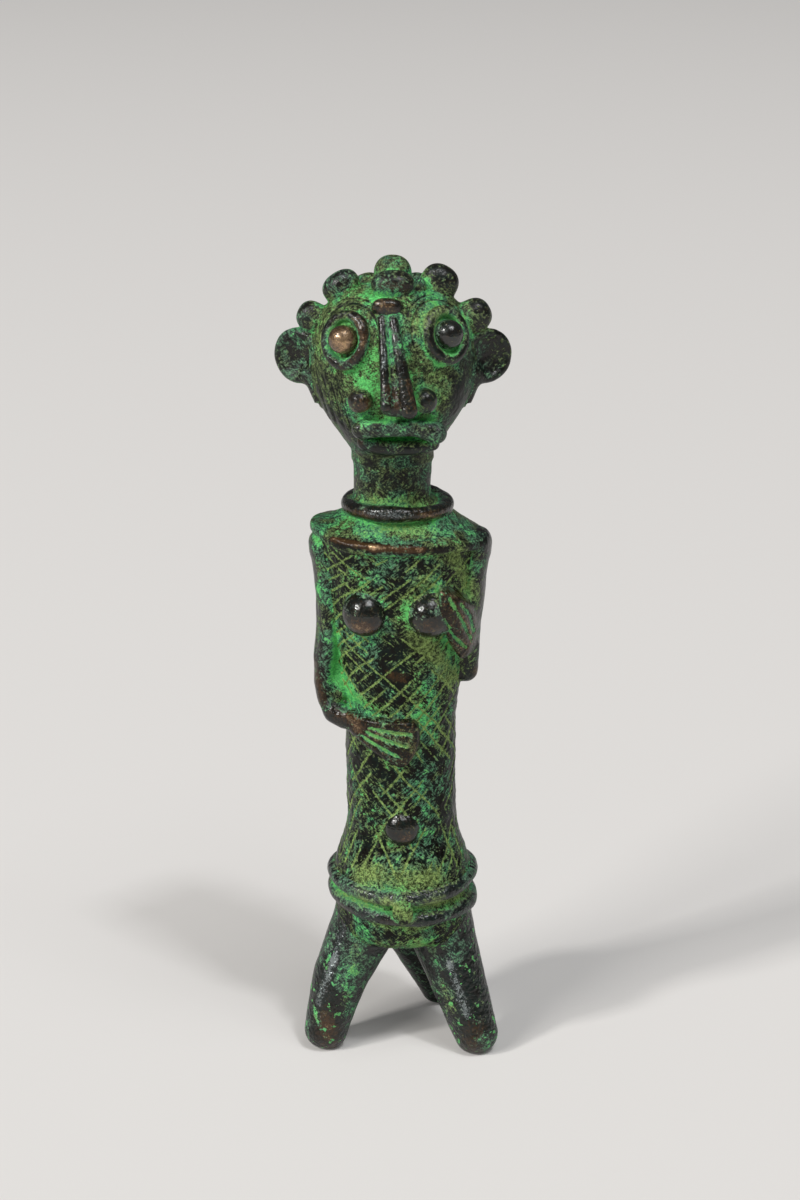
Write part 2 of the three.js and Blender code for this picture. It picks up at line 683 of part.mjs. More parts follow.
// Turns about Z: the figure looks along -Y
const FRONT = -Math.PI / 2;
const BACK = Math.PI / 2;
const turnTo = (side) => (side < 0 ? Math.PI : 0);
const sideKnob = (side, grow = 0) => {
  return knob(side < 0 ? RIGHT_SIDE_KNOB : LEFT_SIDE_KNOB, SIDE_ANGLE, turnTo(side), grow);
};
const crest = {
  front: (grow) => knob(FRONT_KNOB, CREST_FRONT_ANGLE, FRONT, grow),
  top: (grow) => knob(TOP_KNOB, CREST_TOP_ANGLE, BACK, grow),
  back: (grow) => knob(BACK_KNOB, CREST_BACK_ANGLE, BACK, grow),
  nape: (grow) => knob(BACK_KNOB, CREST_NAPE_ANGLE, BACK, grow),
};

// Domes on the trunk

function domeOnTrunk(x, z, radius, height, grow = 0) {
  const place = onTrunk(x, z);
  const axis = new THREE.Vector3(trunkAxisX(z), 0, z);
  const out = place.clone().sub(axis);
  const turn = new THREE.Euler(0, 0, Math.atan2(out.x, -out.y));
  return ellipsoid(place, new THREE.Vector3(radius, height, radius), turn, grow);
}

const breastZ = TRUNK_TOP - BREAST_DROP;
const breast = (side, grow = 0) => {
  const spacing = side > 0 ? LEFT_BREAST_SPACING : -RIGHT_BREAST_SPACING;
  const x = trunkAxisX(breastZ) + spacing;
  return domeOnTrunk(x, breastZ, BREAST_RADIUS, BREAST_HEIGHT, grow);
};

// Belt

function beltCoil(rise, tilt, grow = 0) {
  const z = HIP_HEIGHT + rise;
  return coil(
    trunkHalfWidth(z) + BELT_STAND,
    trunkHalfDepth(z) + BELT_STAND,
    BELT_THREAD,
    (angle) => {
      const front = Math.max(0, -Math.sin(angle)) ** 2;
      const lean = tilt * Math.cos(angle) * trunkHalfWidth(z);
      return new THREE.Vector3(trunkAxisX(z), 0, z - BELT_SAG * front + lean);
    },
    grow,
  );
}

const upperBelt = (grow) => beltCoil(UPPER_BELT_RISE, 0, grow);
const lowerBelt = (grow) => beltCoil(LOWER_BELT_RISE, LOWER_BELT_TILT, grow);

function beltJoin() {
  const z = HIP_HEIGHT + (UPPER_BELT_RISE + LOWER_BELT_RISE) / 2 - BELT_SAG;
  const half = (UPPER_BELT_RISE - LOWER_BELT_RISE) / 2 + BELT_JOIN_OVERLAP;
  const place = onTrunk(trunkAxisX(z), z, BELT_STAND + BELT_THREAD + SEAT);
  return ellipsoid(place, new THREE.Vector3(BELT_JOIN_HALF_WIDTH, BELT_JOIN_DEPTH, half));
}

// Arms

// The points of an upper arm, down the side of the trunk to the elbow
function upperArmPoints(side, elbowDrop, shoulderStand, elbowStand) {
  return evenly(TRUNK_TOP - CAP_RIM, TRUNK_TOP - elbowDrop, 3).map((z, i) => {
    const stand = mix(shoulderStand, elbowStand, (i / 3) ** 2);
    return new THREE.Vector3(trunkAxisX(z) + side * (trunkHalfWidth(z) + stand), (-ARM_FORWARD * i) / 3, z);
  });
}

const rightWristZ = TRUNK_TOP - RIGHT_WRIST_DROP;
const rightWrist = onTrunk(-RIGHT_WRIST_SPREAD + 1, rightWristZ, RIGHT_WRIST_STAND);
rightWrist.x = -RIGHT_WRIST_SPREAD;
const leftWrist = onTrunk(LEFT_WRIST_SPREAD - 1, TRUNK_TOP - LEFT_WRIST_DROP, LEFT_WRIST_STAND);

// The right arm is one roll to the wrist. The left one is bent so far that its forearm is a second roll.
const rightArmPoints = [
  ...upperArmPoints(-1, RIGHT_ELBOW_DROP, RIGHT_SHOULDER_STAND, RIGHT_ELBOW_STAND),
  new THREE.Vector3(-RIGHT_WRIST_SPREAD - 2, -RIGHT_FOREARM_FORWARD, rightWristZ + 1),
  rightWrist,
];
const leftArmPoints = upperArmPoints(1, LEFT_ELBOW_DROP, LEFT_SHOULDER_STAND, LEFT_ELBOW_STAND);
const leftElbow = leftArmPoints[leftArmPoints.length - 1];

function rightArmHalf(along) {
  const share = smooth(along, 0.5, 1);
  return {
    across: mix(RIGHT_ARM_HALF_BREADTH, WRIST_RADIUS, share),
    out: mix(ARM_HALF_THICKNESS, WRIST_RADIUS, share),
  };
}

function leftArmHalf(along) {
  const across = mix(LEFT_ARM_HALF_BREADTH, ARM_HALF_THICKNESS, smooth(along, 0.5, 1));
  return { across, out: ARM_HALF_THICKNESS };
}

const ARM_YAW = THREE.MathUtils.degToRad(7);
const armOutward = (side) => new THREE.Vector3(side * Math.cos(ARM_YAW), -Math.sin(ARM_YAW), 0);
const rightArmRoll = (options) => roll(rightArmPoints, rightArmHalf, armOutward(-1), options);
const leftUpperArm = (options) => roll(leftArmPoints, leftArmHalf, armOutward(1), options);
const leftForearm = (grow) => {
  const half = () => ({ across: WRIST_RADIUS, out: WRIST_RADIUS });
  return roll([leftElbow, leftWrist], half, armOutward(1), { grow });
};

const lengthOf = (points) => new THREE.CatmullRomCurve3(points, false, "centripetal").getLength();
const rightLength = lengthOf(rightArmPoints);
const leftLength = lengthOf(leftArmPoints);

function armlet(armRoll, length) {
  const to = ARMLET_LENGTH / length;
  return armRoll({ grow: ARMLET_PROUD, to, roundStart: false, roundEnd: false });
}

// The web lies against the side of the trunk and follows the arm round to the front
function armWeb() {
  const heights = evenly(TRUNK_TOP - ARM_WEB_TOP_DROP, TRUNK_TOP - ARM_WEB_FOOT_DROP, 3);
  const points = heights.map((z, i) => {
    const stand = ARM_WEB_STAND * Math.sin((i / 3) * Math.PI * 0.85);
    const y = -ARM_WEB_BACK - ARM_WEB_FORWARD * (i / 3) ** 2;
    return new THREE.Vector3(trunkAxisX(z) - trunkHalfWidth(z) - stand, y, z);
  });
  const half = () => ({ across: ARM_WEB_HALF_BREADTH, out: ARM_WEB_HALF_THICKNESS });
  return roll(points, half, new THREE.Vector3(0, -1, 0));
}

function rightArm() {
  const from = (ARMLET_LENGTH + SEAT) / rightLength;
  const to = 1 - (WRIST_BAND_LENGTH + SEAT) / rightLength;
  const arm = rightArmRoll({ from, to, roundStart: false, roundEnd: false });
  return arm.add(armWeb()).subtract(wristBand(SEAT));
}

function leftArm() {
  const from = (ARMLET_LENGTH + SEAT) / leftLength;
  return leftUpperArm({ from, roundStart: false }).add(leftForearm(0));
}

function wristBand(grow = 0) {
  const from = 1 - (WRIST_BAND_LENGTH + grow) / rightLength;
  return rightArmRoll({ grow: ARMLET_PROUD + grow, from, roundStart: false, roundEnd: false });
}

// Hands: outlines drawn in the XZ plane and cut out of a skin that follows what they lie on

// A shape in the XZ plane as a bar that runs through the front half of the figure
function throughFront(shape, place, slope) {
  const bar = new THREE.ExtrudeGeometry(shape, {
    depth: 3 * SHOULDER_HALF_DEPTH,
    bevelEnabled: false,
    curveSegments: 8,
  });
  bar.rotateZ(slope);
  bar.rotateX(Math.PI / 2);
  return solid(bar.translate(place.x, 0, place.z));
}

// A fan that widens from the wrist to the rounded row of finger tips
function fanShape(length, wristWidth, tipWidth) {
  const shape = new THREE.Shape();
  const bulge = length * 0.12;
  shape.moveTo(0, -wristWidth / 2);
  shape.lineTo(length - bulge, -tipWidth / 2);
  shape.quadraticCurveTo(length + bulge, 0, length - bulge, tipWidth / 2);
  shape.lineTo(0, wristWidth / 2);
  return shape;
}

// A leaf, pointed at the finger tips and narrow at the wrist
function leafShape(length, width) {
  const shape = new THREE.Shape();
  shape.moveTo(0, -width * 0.3);
  shape.quadraticCurveTo(length * 0.5, -width * 0.75, length, 0);
  shape.quadraticCurveTo(length * 0.5, width * 0.75, 0, width * 0.3);
  return shape;
}

// A finger groove from one share of the hand's length to another, at an angle to its middle line
function grooveShape(from, to, side, spread) {
  const half = FINGER_GROOVE_WIDTH / 2;
  const shape = new THREE.Shape();
  shape.moveTo(from, side - half);
  shape.lineTo(to, side + spread - half);
  shape.lineTo(to, side + spread + half);
  shape.lineTo(from, side + half);
  return shape;
}

// The hand's outline in a skin over the host, with grooves cut to their depth
function hand(outline, grooves, place, slope, hostAt) {
  const skin = hostAt(SEAT + HAND_THICKNESS).subtract(hostAt(SEAT));
  const floor = hostAt(SEAT + HAND_THICKNESS - FINGER_GROOVE_DEPTH);
  const body = skin.intersect(throughFront(outline, place, slope));
  return grooves.reduce((made, groove) => {
    return made.subtract(throughFront(groove, place, slope).subtract(floor));
  }, body);
}

function rightHand() {
  const spread = (RIGHT_HAND_TIP_WIDTH - RIGHT_HAND_WRIST_WIDTH) / 4;
  const grooves = [-1, 0, 1].map((finger) => {
    const base = (finger * RIGHT_HAND_WRIST_WIDTH) / 3;
    return grooveShape(RIGHT_HAND_LENGTH * 0.36, RIGHT_HAND_LENGTH * 0.92, base, finger * spread);
  });
  const outline = fanShape(RIGHT_HAND_LENGTH, RIGHT_HAND_WRIST_WIDTH, RIGHT_HAND_TIP_WIDTH);
  return hand(outline, grooves, rightWrist, RIGHT_HAND_SLOPE, trunkSolid);
}

const leftArmRoom = (grow) => leftUpperArm({ grow }).add(leftForearm(grow));

function leftHand() {
  const grooves = [-1, 1].map((finger) => {
    const base = (finger * LEFT_HAND_WIDTH) / 6;
    return grooveShape(LEFT_HAND_LENGTH * 0.2, LEFT_HAND_LENGTH * 0.78, base, -base * 0.3);
  });
  const outline = leafShape(LEFT_HAND_LENGTH, LEFT_HAND_WIDTH);
  const host = (grow) => trunkSolid(grow).add(breast(1, grow)).add(leftArmRoom(grow));
  return hand(outline, grooves, leftWrist, LEFT_HAND_SLOPE, host);
}

// Legs

// A stump from inside the trunk to a rounded foot with a small flat sole
function leg(hip, foot, thighRadius, footRadius, bow, grow = 0) {
  const end = new THREE.Vector3(foot.x, foot.y, footRadius - SOLE_DEPTH);
  const middle = hip.clone().lerp(end, 0.5);
  middle.x += bow;
  const stump = roll(
    [hip, middle, end],
    (along) => {
      const radius = mix(thighRadius, footRadius, along);
      return { across: radius, out: radius };
    },
    new THREE.Vector3(0, -1, 0),
    { grow },
  );
  const under = new THREE.Vector3(-40, -40, -footRadius * 2);
  return stump.subtract(block(under, new THREE.Vector3(40, 40, 0)));
}

const hipJointZ = HIP_HEIGHT + HIP_JOINT_RISE;
const hipX = trunkAxisX(hipJointZ);
const hipAt = (way) => new THREE.Vector3(hipX + way * HIP_SPACING, -HIP_FORWARD, hipJointZ);
const supportTop = new THREE.Vector3(hipX - SUPPORT_OFFSET, SUPPORT_BACK, hipJointZ);
const legs = {
  right: (grow) => leg(hipAt(-1), RIGHT_FOOT, THIGH_RADIUS, FOOT_RADIUS, -RIGHT_LEG_BOW, grow),
  left: (grow) => leg(hipAt(1), LEFT_FOOT, THIGH_RADIUS, FOOT_RADIUS, 0, grow),
  rear: () => leg(supportTop, SUPPORT_FOOT, SUPPORT_THIGH_RADIUS, SUPPORT_FOOT_RADIUS, 0),
};

// Finishes of the patinated bronze, each with the colour that its pieces mostly show
const FINISHES = {
  malachite: { color: 0x2f7d4a, roughness: 0.8, metalness: 0.1 },
  darkGreen: { color: 0x24453a, roughness: 0.6, metalness: 0.4 },
  olive: { color: 0x6a7a3c, roughness: 0.85, metalness: 0.1 },
  darkBronze: { color: 0x2a2721, roughness: 0.4, metalness: 0.8 },
  wornBronze: { color: 0x7a5a3c, roughness: 0.35, metalness: 0.9 },
};

const figure = new THREE.Group();

function place(name, made, finish) {
  const mesh = new THREE.Mesh(geometryOf(mainBody(made)), new THREE.MeshStandardMaterial(FINISHES[finish]));
  mesh.name = name;
  figure.add(mesh);
}

// What the applied pieces are cut by, grown by the clearance
const nearTrunk = trunkSolid(SEAT);
const nearCap = capSolid(SEAT);
const nearHead = headSolid(SEAT);
const nearNeck = neckSolid(SEAT);
const nearNose = noseSolid(SEAT);
const SIDES = [
  ["right", -1],
  ["left", 1],
];

place("trunk", trunkSolid().subtract(nearCap), "malachite");
place("shoulder_cap", capSolid(), "darkGreen");
place("neck", neckSolid().subtract(nearCap).subtract(nearHead), "darkGreen");
place("neck_coil", neckCoil().subtract(nearNeck).subtract(nearCap), "darkBronze");
place("head", headSolid(), "malachite");
for (const [side, way] of SIDES) {
  place(side + "_ear", ear(way).subtract(nearHead).subtract(sideKnob(way, SEAT)), "darkBronze");
  place(side + "_eye_ring", eyeRing(way).subtract(nearHead), "wornBronze");
  place(side + "_eyeball", eyeball(way).subtract(nearHead), "wornBronze");
  place(side + "_nostril", nostril(way).subtract(nearHead).subtract(nearNose), "wornBronze");
}
place("nose", noseSolid().subtract(nearHead), "wornBronze");
place("upper_lip", upperLip().subtract(nearHead).subtract(nearNose), "darkBronze");
place("lower_lip", lowerLip().subtract(nearHead), "darkGreen");
const nearPellet = nearHead.add(nearNose).add(crest.front(SEAT));
place("forehead_pellet", pellet().subtract(nearPellet), "wornBronze");
place("crest_front_knob", crest.front(0).subtract(nearHead).subtract(crest.top(SEAT)), "darkBronze");
place("crest_top_knob", crest.top(0).subtract(nearHead).subtract(crest.back(SEAT)), "darkGreen");
place("crest_back_knob", crest.back(0).subtract(nearHead), "darkBronze");
place("crest_nape_knob", crest.nape(0).subtract(nearHead), "darkBronze");
const rightTemple = knob(RIGHT_TEMPLE_KNOB, RIGHT_TEMPLE_ANGLE, turnTo(-1));
place("right_temple_knob", rightTemple.subtract(nearHead), "darkBronze");
const leftTemple = knob(LEFT_TEMPLE_KNOB, LEFT_TEMPLE_ANGLE, turnTo(1));
const lobeSize = new THREE.Vector3(LOBE_RADIUS, LOBE_RADIUS, LOBE_RADIUS);
const lobe = ellipsoid(onScalp(LOBE_ANGLE, LOBE_TURN), lobeSize);
place("left_temple_knob", leftTemple.add(lobe).subtract(nearHead), "darkBronze");
for (const [side, way] of SIDES) {
  const rearTurn = turnTo(way) + way * REAR_TURN;
  place(side + "_side_knob", sideKnob(way).subtract(nearHead), "darkBronze");
  place(side + "_rear_knob", knob(REAR_KNOB, REAR_ANGLE, rearTurn).subtract(nearHead), "darkBronze");
}

const nearArmPieces = nearTrunk.add(nearCap);
place("right_armlet", armlet(rightArmRoll, rightLength).subtract(nearArmPieces), "malachite");
place("left_armlet", armlet(leftUpperArm, leftLength).subtract(nearArmPieces), "darkGreen");
place("right_arm", rightArm().subtract(nearArmPieces), "malachite");
place("left_arm", leftArm().subtract(nearArmPieces).subtract(breast(1, SEAT)), "darkGreen");
place("right_wrist_band", wristBand().subtract(nearArmPieces), "darkBronze");
place("right_hand", rightHand().subtract(rightArmRoll({ grow: ARMLET_PROUD + SEAT })), "darkBronze");
place("left_hand", leftHand(), "darkBronze");
place("right_breast", breast(-1).subtract(nearTrunk), "darkBronze");
place("left_breast", breast(1).subtract(nearTrunk), "darkBronze");

const navelZ = HIP_HEIGHT + NAVEL_RISE;
const navel = domeOnTrunk(trunkAxisX(navelZ), navelZ, NAVEL_RADIUS, NAVEL_HEIGHT);
place("navel", navel.subtract(nearTrunk), "darkBronze");

const nearCoils = upperBelt(SEAT).add(lowerBelt(SEAT));
place("upper_belt_coil", upperBelt().subtract(nearTrunk), "darkGreen");
place("lower_belt_coil", lowerBelt().subtract(nearTrunk), "darkGreen");
place("belt_join", beltJoin().subtract(nearCoils).subtract(nearTrunk), "olive");

const nearBelt = nearTrunk.add(nearCoils);
const nearLegs = legs.right(SEAT).add(legs.left(SEAT));
place("right_leg", legs.right().subtract(nearBelt), "malachite");
place("left_leg", legs.left().subtract(nearBelt).subtract(legs.right(SEAT)), "malachite");
place("rear_support", legs.rear().subtract(nearBelt).subtract(nearLegs), "darkGreen");

// The origin goes under the middle of the whole figure
const bounds = new THREE.Box3().setFromObject(figure);
const middle = bounds.getCenter(new THREE.Vector3());
figure.position.set(-middle.x, -middle.y, -bounds.min.z);

export default figure;
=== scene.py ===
"""A small lost-wax bronze figure with a thick green patina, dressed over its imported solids.

Every sub-part is a signed distance form. All forms are melted together with small fillets, as wax is,
and each visible piece is the share of that one surface which its own form rules.
"""

import math

import bpy
import numpy as np
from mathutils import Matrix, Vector


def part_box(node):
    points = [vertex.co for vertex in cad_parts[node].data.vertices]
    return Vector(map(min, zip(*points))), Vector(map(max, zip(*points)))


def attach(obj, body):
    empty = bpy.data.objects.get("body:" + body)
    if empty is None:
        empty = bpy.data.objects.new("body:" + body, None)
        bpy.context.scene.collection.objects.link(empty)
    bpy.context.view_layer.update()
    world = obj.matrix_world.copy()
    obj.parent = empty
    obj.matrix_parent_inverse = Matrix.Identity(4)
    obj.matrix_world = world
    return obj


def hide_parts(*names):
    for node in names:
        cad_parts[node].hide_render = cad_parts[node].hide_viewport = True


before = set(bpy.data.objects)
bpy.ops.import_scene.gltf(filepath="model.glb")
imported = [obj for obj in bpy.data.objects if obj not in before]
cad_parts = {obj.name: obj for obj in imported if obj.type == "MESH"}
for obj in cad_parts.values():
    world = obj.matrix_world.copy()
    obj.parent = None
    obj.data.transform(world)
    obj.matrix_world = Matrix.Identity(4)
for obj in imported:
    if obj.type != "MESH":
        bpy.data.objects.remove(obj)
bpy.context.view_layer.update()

# Sizes of the figure in millimetres, as in the solids
HIP_HEIGHT = 18.4
TRUNK_LENGTH = 68.4
CAP_RISE = 3.5
NECK_LENGTH = 9.7
HEAD_HEIGHT = 26.5
TRUNK_TOP = HIP_HEIGHT + TRUNK_LENGTH
NECK_FOOT = TRUNK_TOP + CAP_RISE
HEAD_FOOT = NECK_FOOT + NECK_LENGTH
HEAD_TOP = HEAD_FOOT + HEAD_HEIGHT

HIP_HALF = (10.9, 11.0)
WAIST_HALF = (8.8, 8.8)
SHOULDER_HALF = (12.4, 10.6)
UNDERSIDE_RISE = 5.4
HIP_BAND_TOP = 11.6
FLARE_TOP = 21.0
WAIST_TOP = 38.0
TRUNK_LEAN = -0.011
TRUNK_OFFSET = 0.5

CAP_HALF = (13.9, 11.2)
CAP_RIM = 1.7
CAP_TILT = math.radians(4.5)

NECK_RADIUS = 6.15
NECK_WAISTING = 0.2
NECK_FLARE = 1.1
NECK_OFFSET = -1.15
NECK_COIL_RADIUS = 7.6
NECK_COIL_THREAD = 1.15
NECK_COIL_OFFSET = -0.5

HEAD_HALF = (12.7, 10.6)
JAW_HEIGHT = 14.5
JAW_FORWARD = 1.3
HEAD_OFFSET = -1.1
CROWN_POWER = 2.4
CROWN_HEIGHT = HEAD_HEIGHT - JAW_HEIGHT
CROWN_FOOT = HEAD_FOOT + JAW_HEIGHT

EAR_RADIUS = 4.3
EAR_THICKNESS = 1.5
EAR_CUP_RADIUS = 8.0
EAR_CUP_DEPTH = 0.8
EAR_SPREAD = 14.3
EAR_DROP = 11.6
EAR_YAW = math.radians(28)
EAR_RIM_INSET = 0.75
EAR_RIM_RADIUS = 0.55
# The web from the ear to the jaw: how far in and how far down its ends lie, and its half size there
EAR_WEB = ((2.0, 2.6, 1.3), (3.4, 7.0, 0.7))

EYE_SPACING = 7.6
EYE_SHIFT = 0.45
EYE_DROP = 7.0
EYE_TILT = 0.3
EYE_RING_HALF = (3.25, 3.7)
EYE_RING_THREAD = 0.85
EYEBALL_RADIUS = 2.2
EYEBALL_STAND = 0.7

NOSE_TOP_DROP = 4.0
NOSE_LENGTH = 12.4
NOSE_TIP_REACH = 2.6
NOSE_SLANT = 1.6
NOSE_ROOT_SINK = 0.6
# Half sizes of the nose's core at its root and tip. Then, for its right and its left ridge: how far it lies
# to the side and how far it stands out at root and tip, how much longer it is, and its half sizes.
NOSE_CORE_ACROSS = (1.0, 2.7)
NOSE_CORE_OUT = (0.5, 1.5)
NOSE_RIDGES = (((-0.8, -1.75), (0.8, 1.35), -0.4, (0.55, 0.9)), ((0.8, 1.55), (0.8, 1.2), 0.3, (0.65, 1.35)))
NOSTRIL_RADIUS = 1.8
NOSTRIL_SPACING = 4.9
NOSTRIL_RISE = 0.4
NOSTRIL_LIP_GAP = 1.15
LIP_HALF_WIDTH = 6.9
LIP_OFFSET = 0.9
LIP_REACH = 1.3
UPPER_LIP_RADIUS = 1.25
LOWER_LIP_RADIUS = 1.1
LOWER_LIP_HALF_WIDTH = 6.3
LIP_GAP = 1.1
PELLET_HALF = (2.2, 1.2, 1.2)
PELLET_DROP = 2.3
PELLET_STAND = 0.3

KNOB_STAND = 0.9
KNOB_POWER = 2.3

BREAST_RADIUS = 3.5
BREAST_HEIGHT = 3.0
BREAST_SPACING = {"right": -5.5, "left": 4.9}
BREAST_DROP = 10.9
NAVEL_RADIUS = 2.5
NAVEL_HEIGHT = 1.4
NAVEL_RISE = 21.4

BELT_THREAD = 1.1
UPPER_BELT_RISE = 11.0
LOWER_BELT_RISE = 7.5
LOWER_BELT_TILT = -0.075
BELT_SAG = 0.5
BELT_STAND = 0.25

ARM_HALF_THICKNESS = 1.75
RIGHT_ARM_HALF_BREADTH = 3.3
LEFT_ARM_HALF_BREADTH = 4.2
RIGHT_SHOULDER_STAND = -0.15
LEFT_SHOULDER_STAND = 0.4
ARM_FORWARD = 1.8
ARMLET_LENGTH = 2.2
ARMLET_PROUD = 0.2
RIGHT_ELBOW_DROP = 24.5
RIGHT_ELBOW_STAND = 2.5
LEFT_ELBOW_DROP = 22.4
LEFT_ELBOW_STAND = 0.7
RIGHT_WRIST_DROP = 29.3
RIGHT_WRIST_SPREAD = 8.8
RIGHT_WRIST_STAND = 0.6
RIGHT_FOREARM_FORWARD = 3.8
WRIST_RADIUS = 1.6
WRIST_BAND_LENGTH = 1.6
LEFT_WRIST_DROP = 18.4
LEFT_WRIST_SPREAD = 11.9
LEFT_WRIST_STAND = 0.9
ARM_YAW = math.radians(7)
# The web of metal that fills the corner between the right arm and the trunk
WEB_POINTS = ((-11.4, -0.6, 80), (-11.2, -1.0, 71), (-10.9, -1.6, 65), (-9.6, -3.4, 60.6))
WEB_HALF_BREADTHS = (1.2, 1.4, 1.7, 2.0, 2.1, 2.0, 1.2)
WEB_HALF_DEPTH = 1.0

HAND_THICKNESS = 1.8
RIGHT_HAND_LENGTH = 11.8
RIGHT_HAND_WRIST_WIDTH = 2.8
RIGHT_HAND_TIP_WIDTH = 8.2
RIGHT_HAND_SLOPE = math.radians(-16)
LEFT_HAND_LENGTH = 13.2
LEFT_HAND_WIDTH = 5.4
LEFT_HAND_SLOPE = math.radians(111)
LEFT_HAND_BULGE = 0.7

THIGH_RADIUS = 5.6
FOOT_RADIUS = 3.6
SOLE_DEPTH = 0.6
HIP_SPACING = 5.6
HIP_JOINT_RISE = 3.0
HIP_FORWARD = 1.2
RIGHT_LEG_BOW = 0.9
RIGHT_FOOT = (-12.1, -4.8)
LEFT_FOOT = (12.4, -6.4)
SUPPORT_THIGH_RADIUS = 4.6
SUPPORT_FOOT_RADIUS = 3.2
SUPPORT_FOOT = (6.8, 12.0)
SUPPORT_OFFSET = 1.0
SUPPORT_BACK = 3.0

# How softly the wax forms run into each other, and how the pieces share the surface
FILLET = 0.3
SINK = 0.2
OVERLAP = 0.5

# Millimetres in a metre
MM = 1000
# The solids' frame is moved off the figure's own axis, and the neck shows by how much
neck_low, neck_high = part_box("neck")
middle_x, middle_y = (neck_low.x + neck_high.x) / 2 * MM, (neck_low.y + neck_high.y) / 2 * MM
SHIFT = np.array([middle_x - NECK_OFFSET, middle_y, 0.0])

# The way the figure faces
FORWARD = (0.0, -1.0, 0.0)

# Small mathematics


def mix(a, b, t):
    return a + (b - a) * t


def smooth(x, low, high):
    t = np.clip((x - low) / (high - low), 0.0, 1.0)
    return t * t * (3 - 2 * t)


def smax(a, b, k):
    h = np.maximum(k - np.abs(a - b), 0.0) / k
    return np.maximum(a, b) + h * h * k * 0.25


def smin(a, b, k):
    return -smax(-a, -b, k)


def unit(v):
    v = np.asarray(v, float)
    return v / np.linalg.norm(v)


def ellipse_distance(x, y, a, b):
    """First-order distance to an ellipse of half sizes a and b"""
    e = np.hypot(x / a, y / b)
    slope = np.hypot(x / (a * a), y / (b * b))
    return (e - 1) * e / np.maximum(slope, 1e-6)


def ellipsoid_distance(local, half, power=2.0):
    """First-order distance to an ellipsoid, or to a squarer body with a power above 2"""
    q = np.abs(local / half) + 1e-6
    e = np.sum(q**power, axis=1) ** (1 / power)
    slope = np.sqrt(np.sum((q ** (power - 1) / half) ** 2, axis=1)) * e ** (1 - power)
    return (e - 1) / np.maximum(slope, 1e-6)


def turned_to(out):
    """Rows are the axes of a frame whose third axis is out, turned from +Z by the shortest way"""
    out = unit(out)
    z = np.array([0.0, 0.0, 1.0])
    axis = np.cross(z, out)
    s, c = np.linalg.norm(axis), out[2]
    if s < 1e-9:
        return np.eye(3)
    axis = axis / s
    k = np.array([[0, -axis[2], axis[1]], [axis[2], 0, -axis[0]], [-axis[1], axis[0], 0]])
    return (np.eye(3) + s * k + (1 - c) * k @ k).T


def catmull(points, count):
    """Evenly shared points of a centripetal Catmull-Rom curve through three or more points"""
    p = np.asarray(points, float)
    p = np.vstack([2 * p[0] - p[1], p, 2 * p[-1] - p[-2]])
    fine = []
    for i in range(1, len(p) - 2):
        knots = [0.0]
        for j in range(3):
            knots.append(knots[-1] + max(np.linalg.norm(p[i + j] - p[i + j - 1]), 1e-6) ** 0.5)
        for t in np.linspace(knots[1], knots[2], 24, endpoint=False):
            level = p[i - 1 : i + 3]
            for width in (1, 2):
                shares = [(t - knots[j]) / (knots[j + width] - knots[j]) for j in range(4 - width)]
                level = [mix(level[j], level[j + 1], share) for j, share in enumerate(shares)]
            fine.append(mix(level[0], level[1], (t - knots[1]) / (knots[2] - knots[1])))
    fine.append(p[-2])
    fine = np.array(fine)
    run = np.concatenate([[0], np.cumsum(np.linalg.norm(np.diff(fine, axis=0), axis=1))])
    at = np.linspace(0, run[-1], count)
    return np.stack([np.interp(at, run, fine[:, c]) for c in range(3)], axis=1)


# Noise on a repeating lattice of seeded numbers

LATTICE = 32
lattice = np.random.default_rng(7).random((4, LATTICE, LATTICE, LATTICE)).astype(np.float32)


def noise(points, size, layer=0):
    """Smooth noise from -1 to 1 whose features are about size millimetres wide"""
    q = (points / size + 100.0).astype(np.float32)
    cell = np.floor(q).astype(np.int32)
    f = q - cell
    fx, fy, fz = (f * f * (3 - 2 * f)).T
    x, y, z = zip((cell % LATTICE).T, ((cell + 1) % LATTICE).T)
    table = lattice[layer]
    sides = []
    for k in z:
        rows = [mix(table[x[0], j, k], table[x[1], j, k], fx) for j in y]
        sides.append(mix(*rows, fy))
    return mix(*sides, fz) * 2 - 1


# Trunk


def trunk_axis(z):
    return TRUNK_OFFSET + (z - HIP_HEIGHT) * TRUNK_LEAN


def trunk_half(z, i):
    h = np.clip(z - HIP_HEIGHT, 0, TRUNK_LENGTH)
    lower = mix(HIP_HALF[i], WAIST_HALF[i], smooth(h, HIP_BAND_TOP, FLARE_TOP))
    share = np.clip((h - WAIST_TOP) / (TRUNK_LENGTH - WAIST_TOP), 0, 1)
    return np.where(h < WAIST_TOP, lower, mix(WAIST_HALF[i], SHOULDER_HALF[i], share))


def on_trunk(x, z, stand=0.0):
    share = np.clip((x - trunk_axis(z)) / trunk_half(z, 0), -0.98, 0.98)
    return np.array([x, float(-trunk_half(z, 1) * math.sqrt(1 - share**2) - stand), z])


def trunk_side(p):
    z = p[:, 2]
    return ellipse_distance(p[:, 0] - trunk_axis(z), p[:, 1], trunk_half(z, 0), trunk_half(z, 1))


def trunk_form(p):
    d = smax(trunk_side(p), HIP_HEIGHT - p[:, 2], UNDERSIDE_RISE)
    return np.maximum(d, p[:, 2] - TRUNK_TOP)


# Shoulder cap


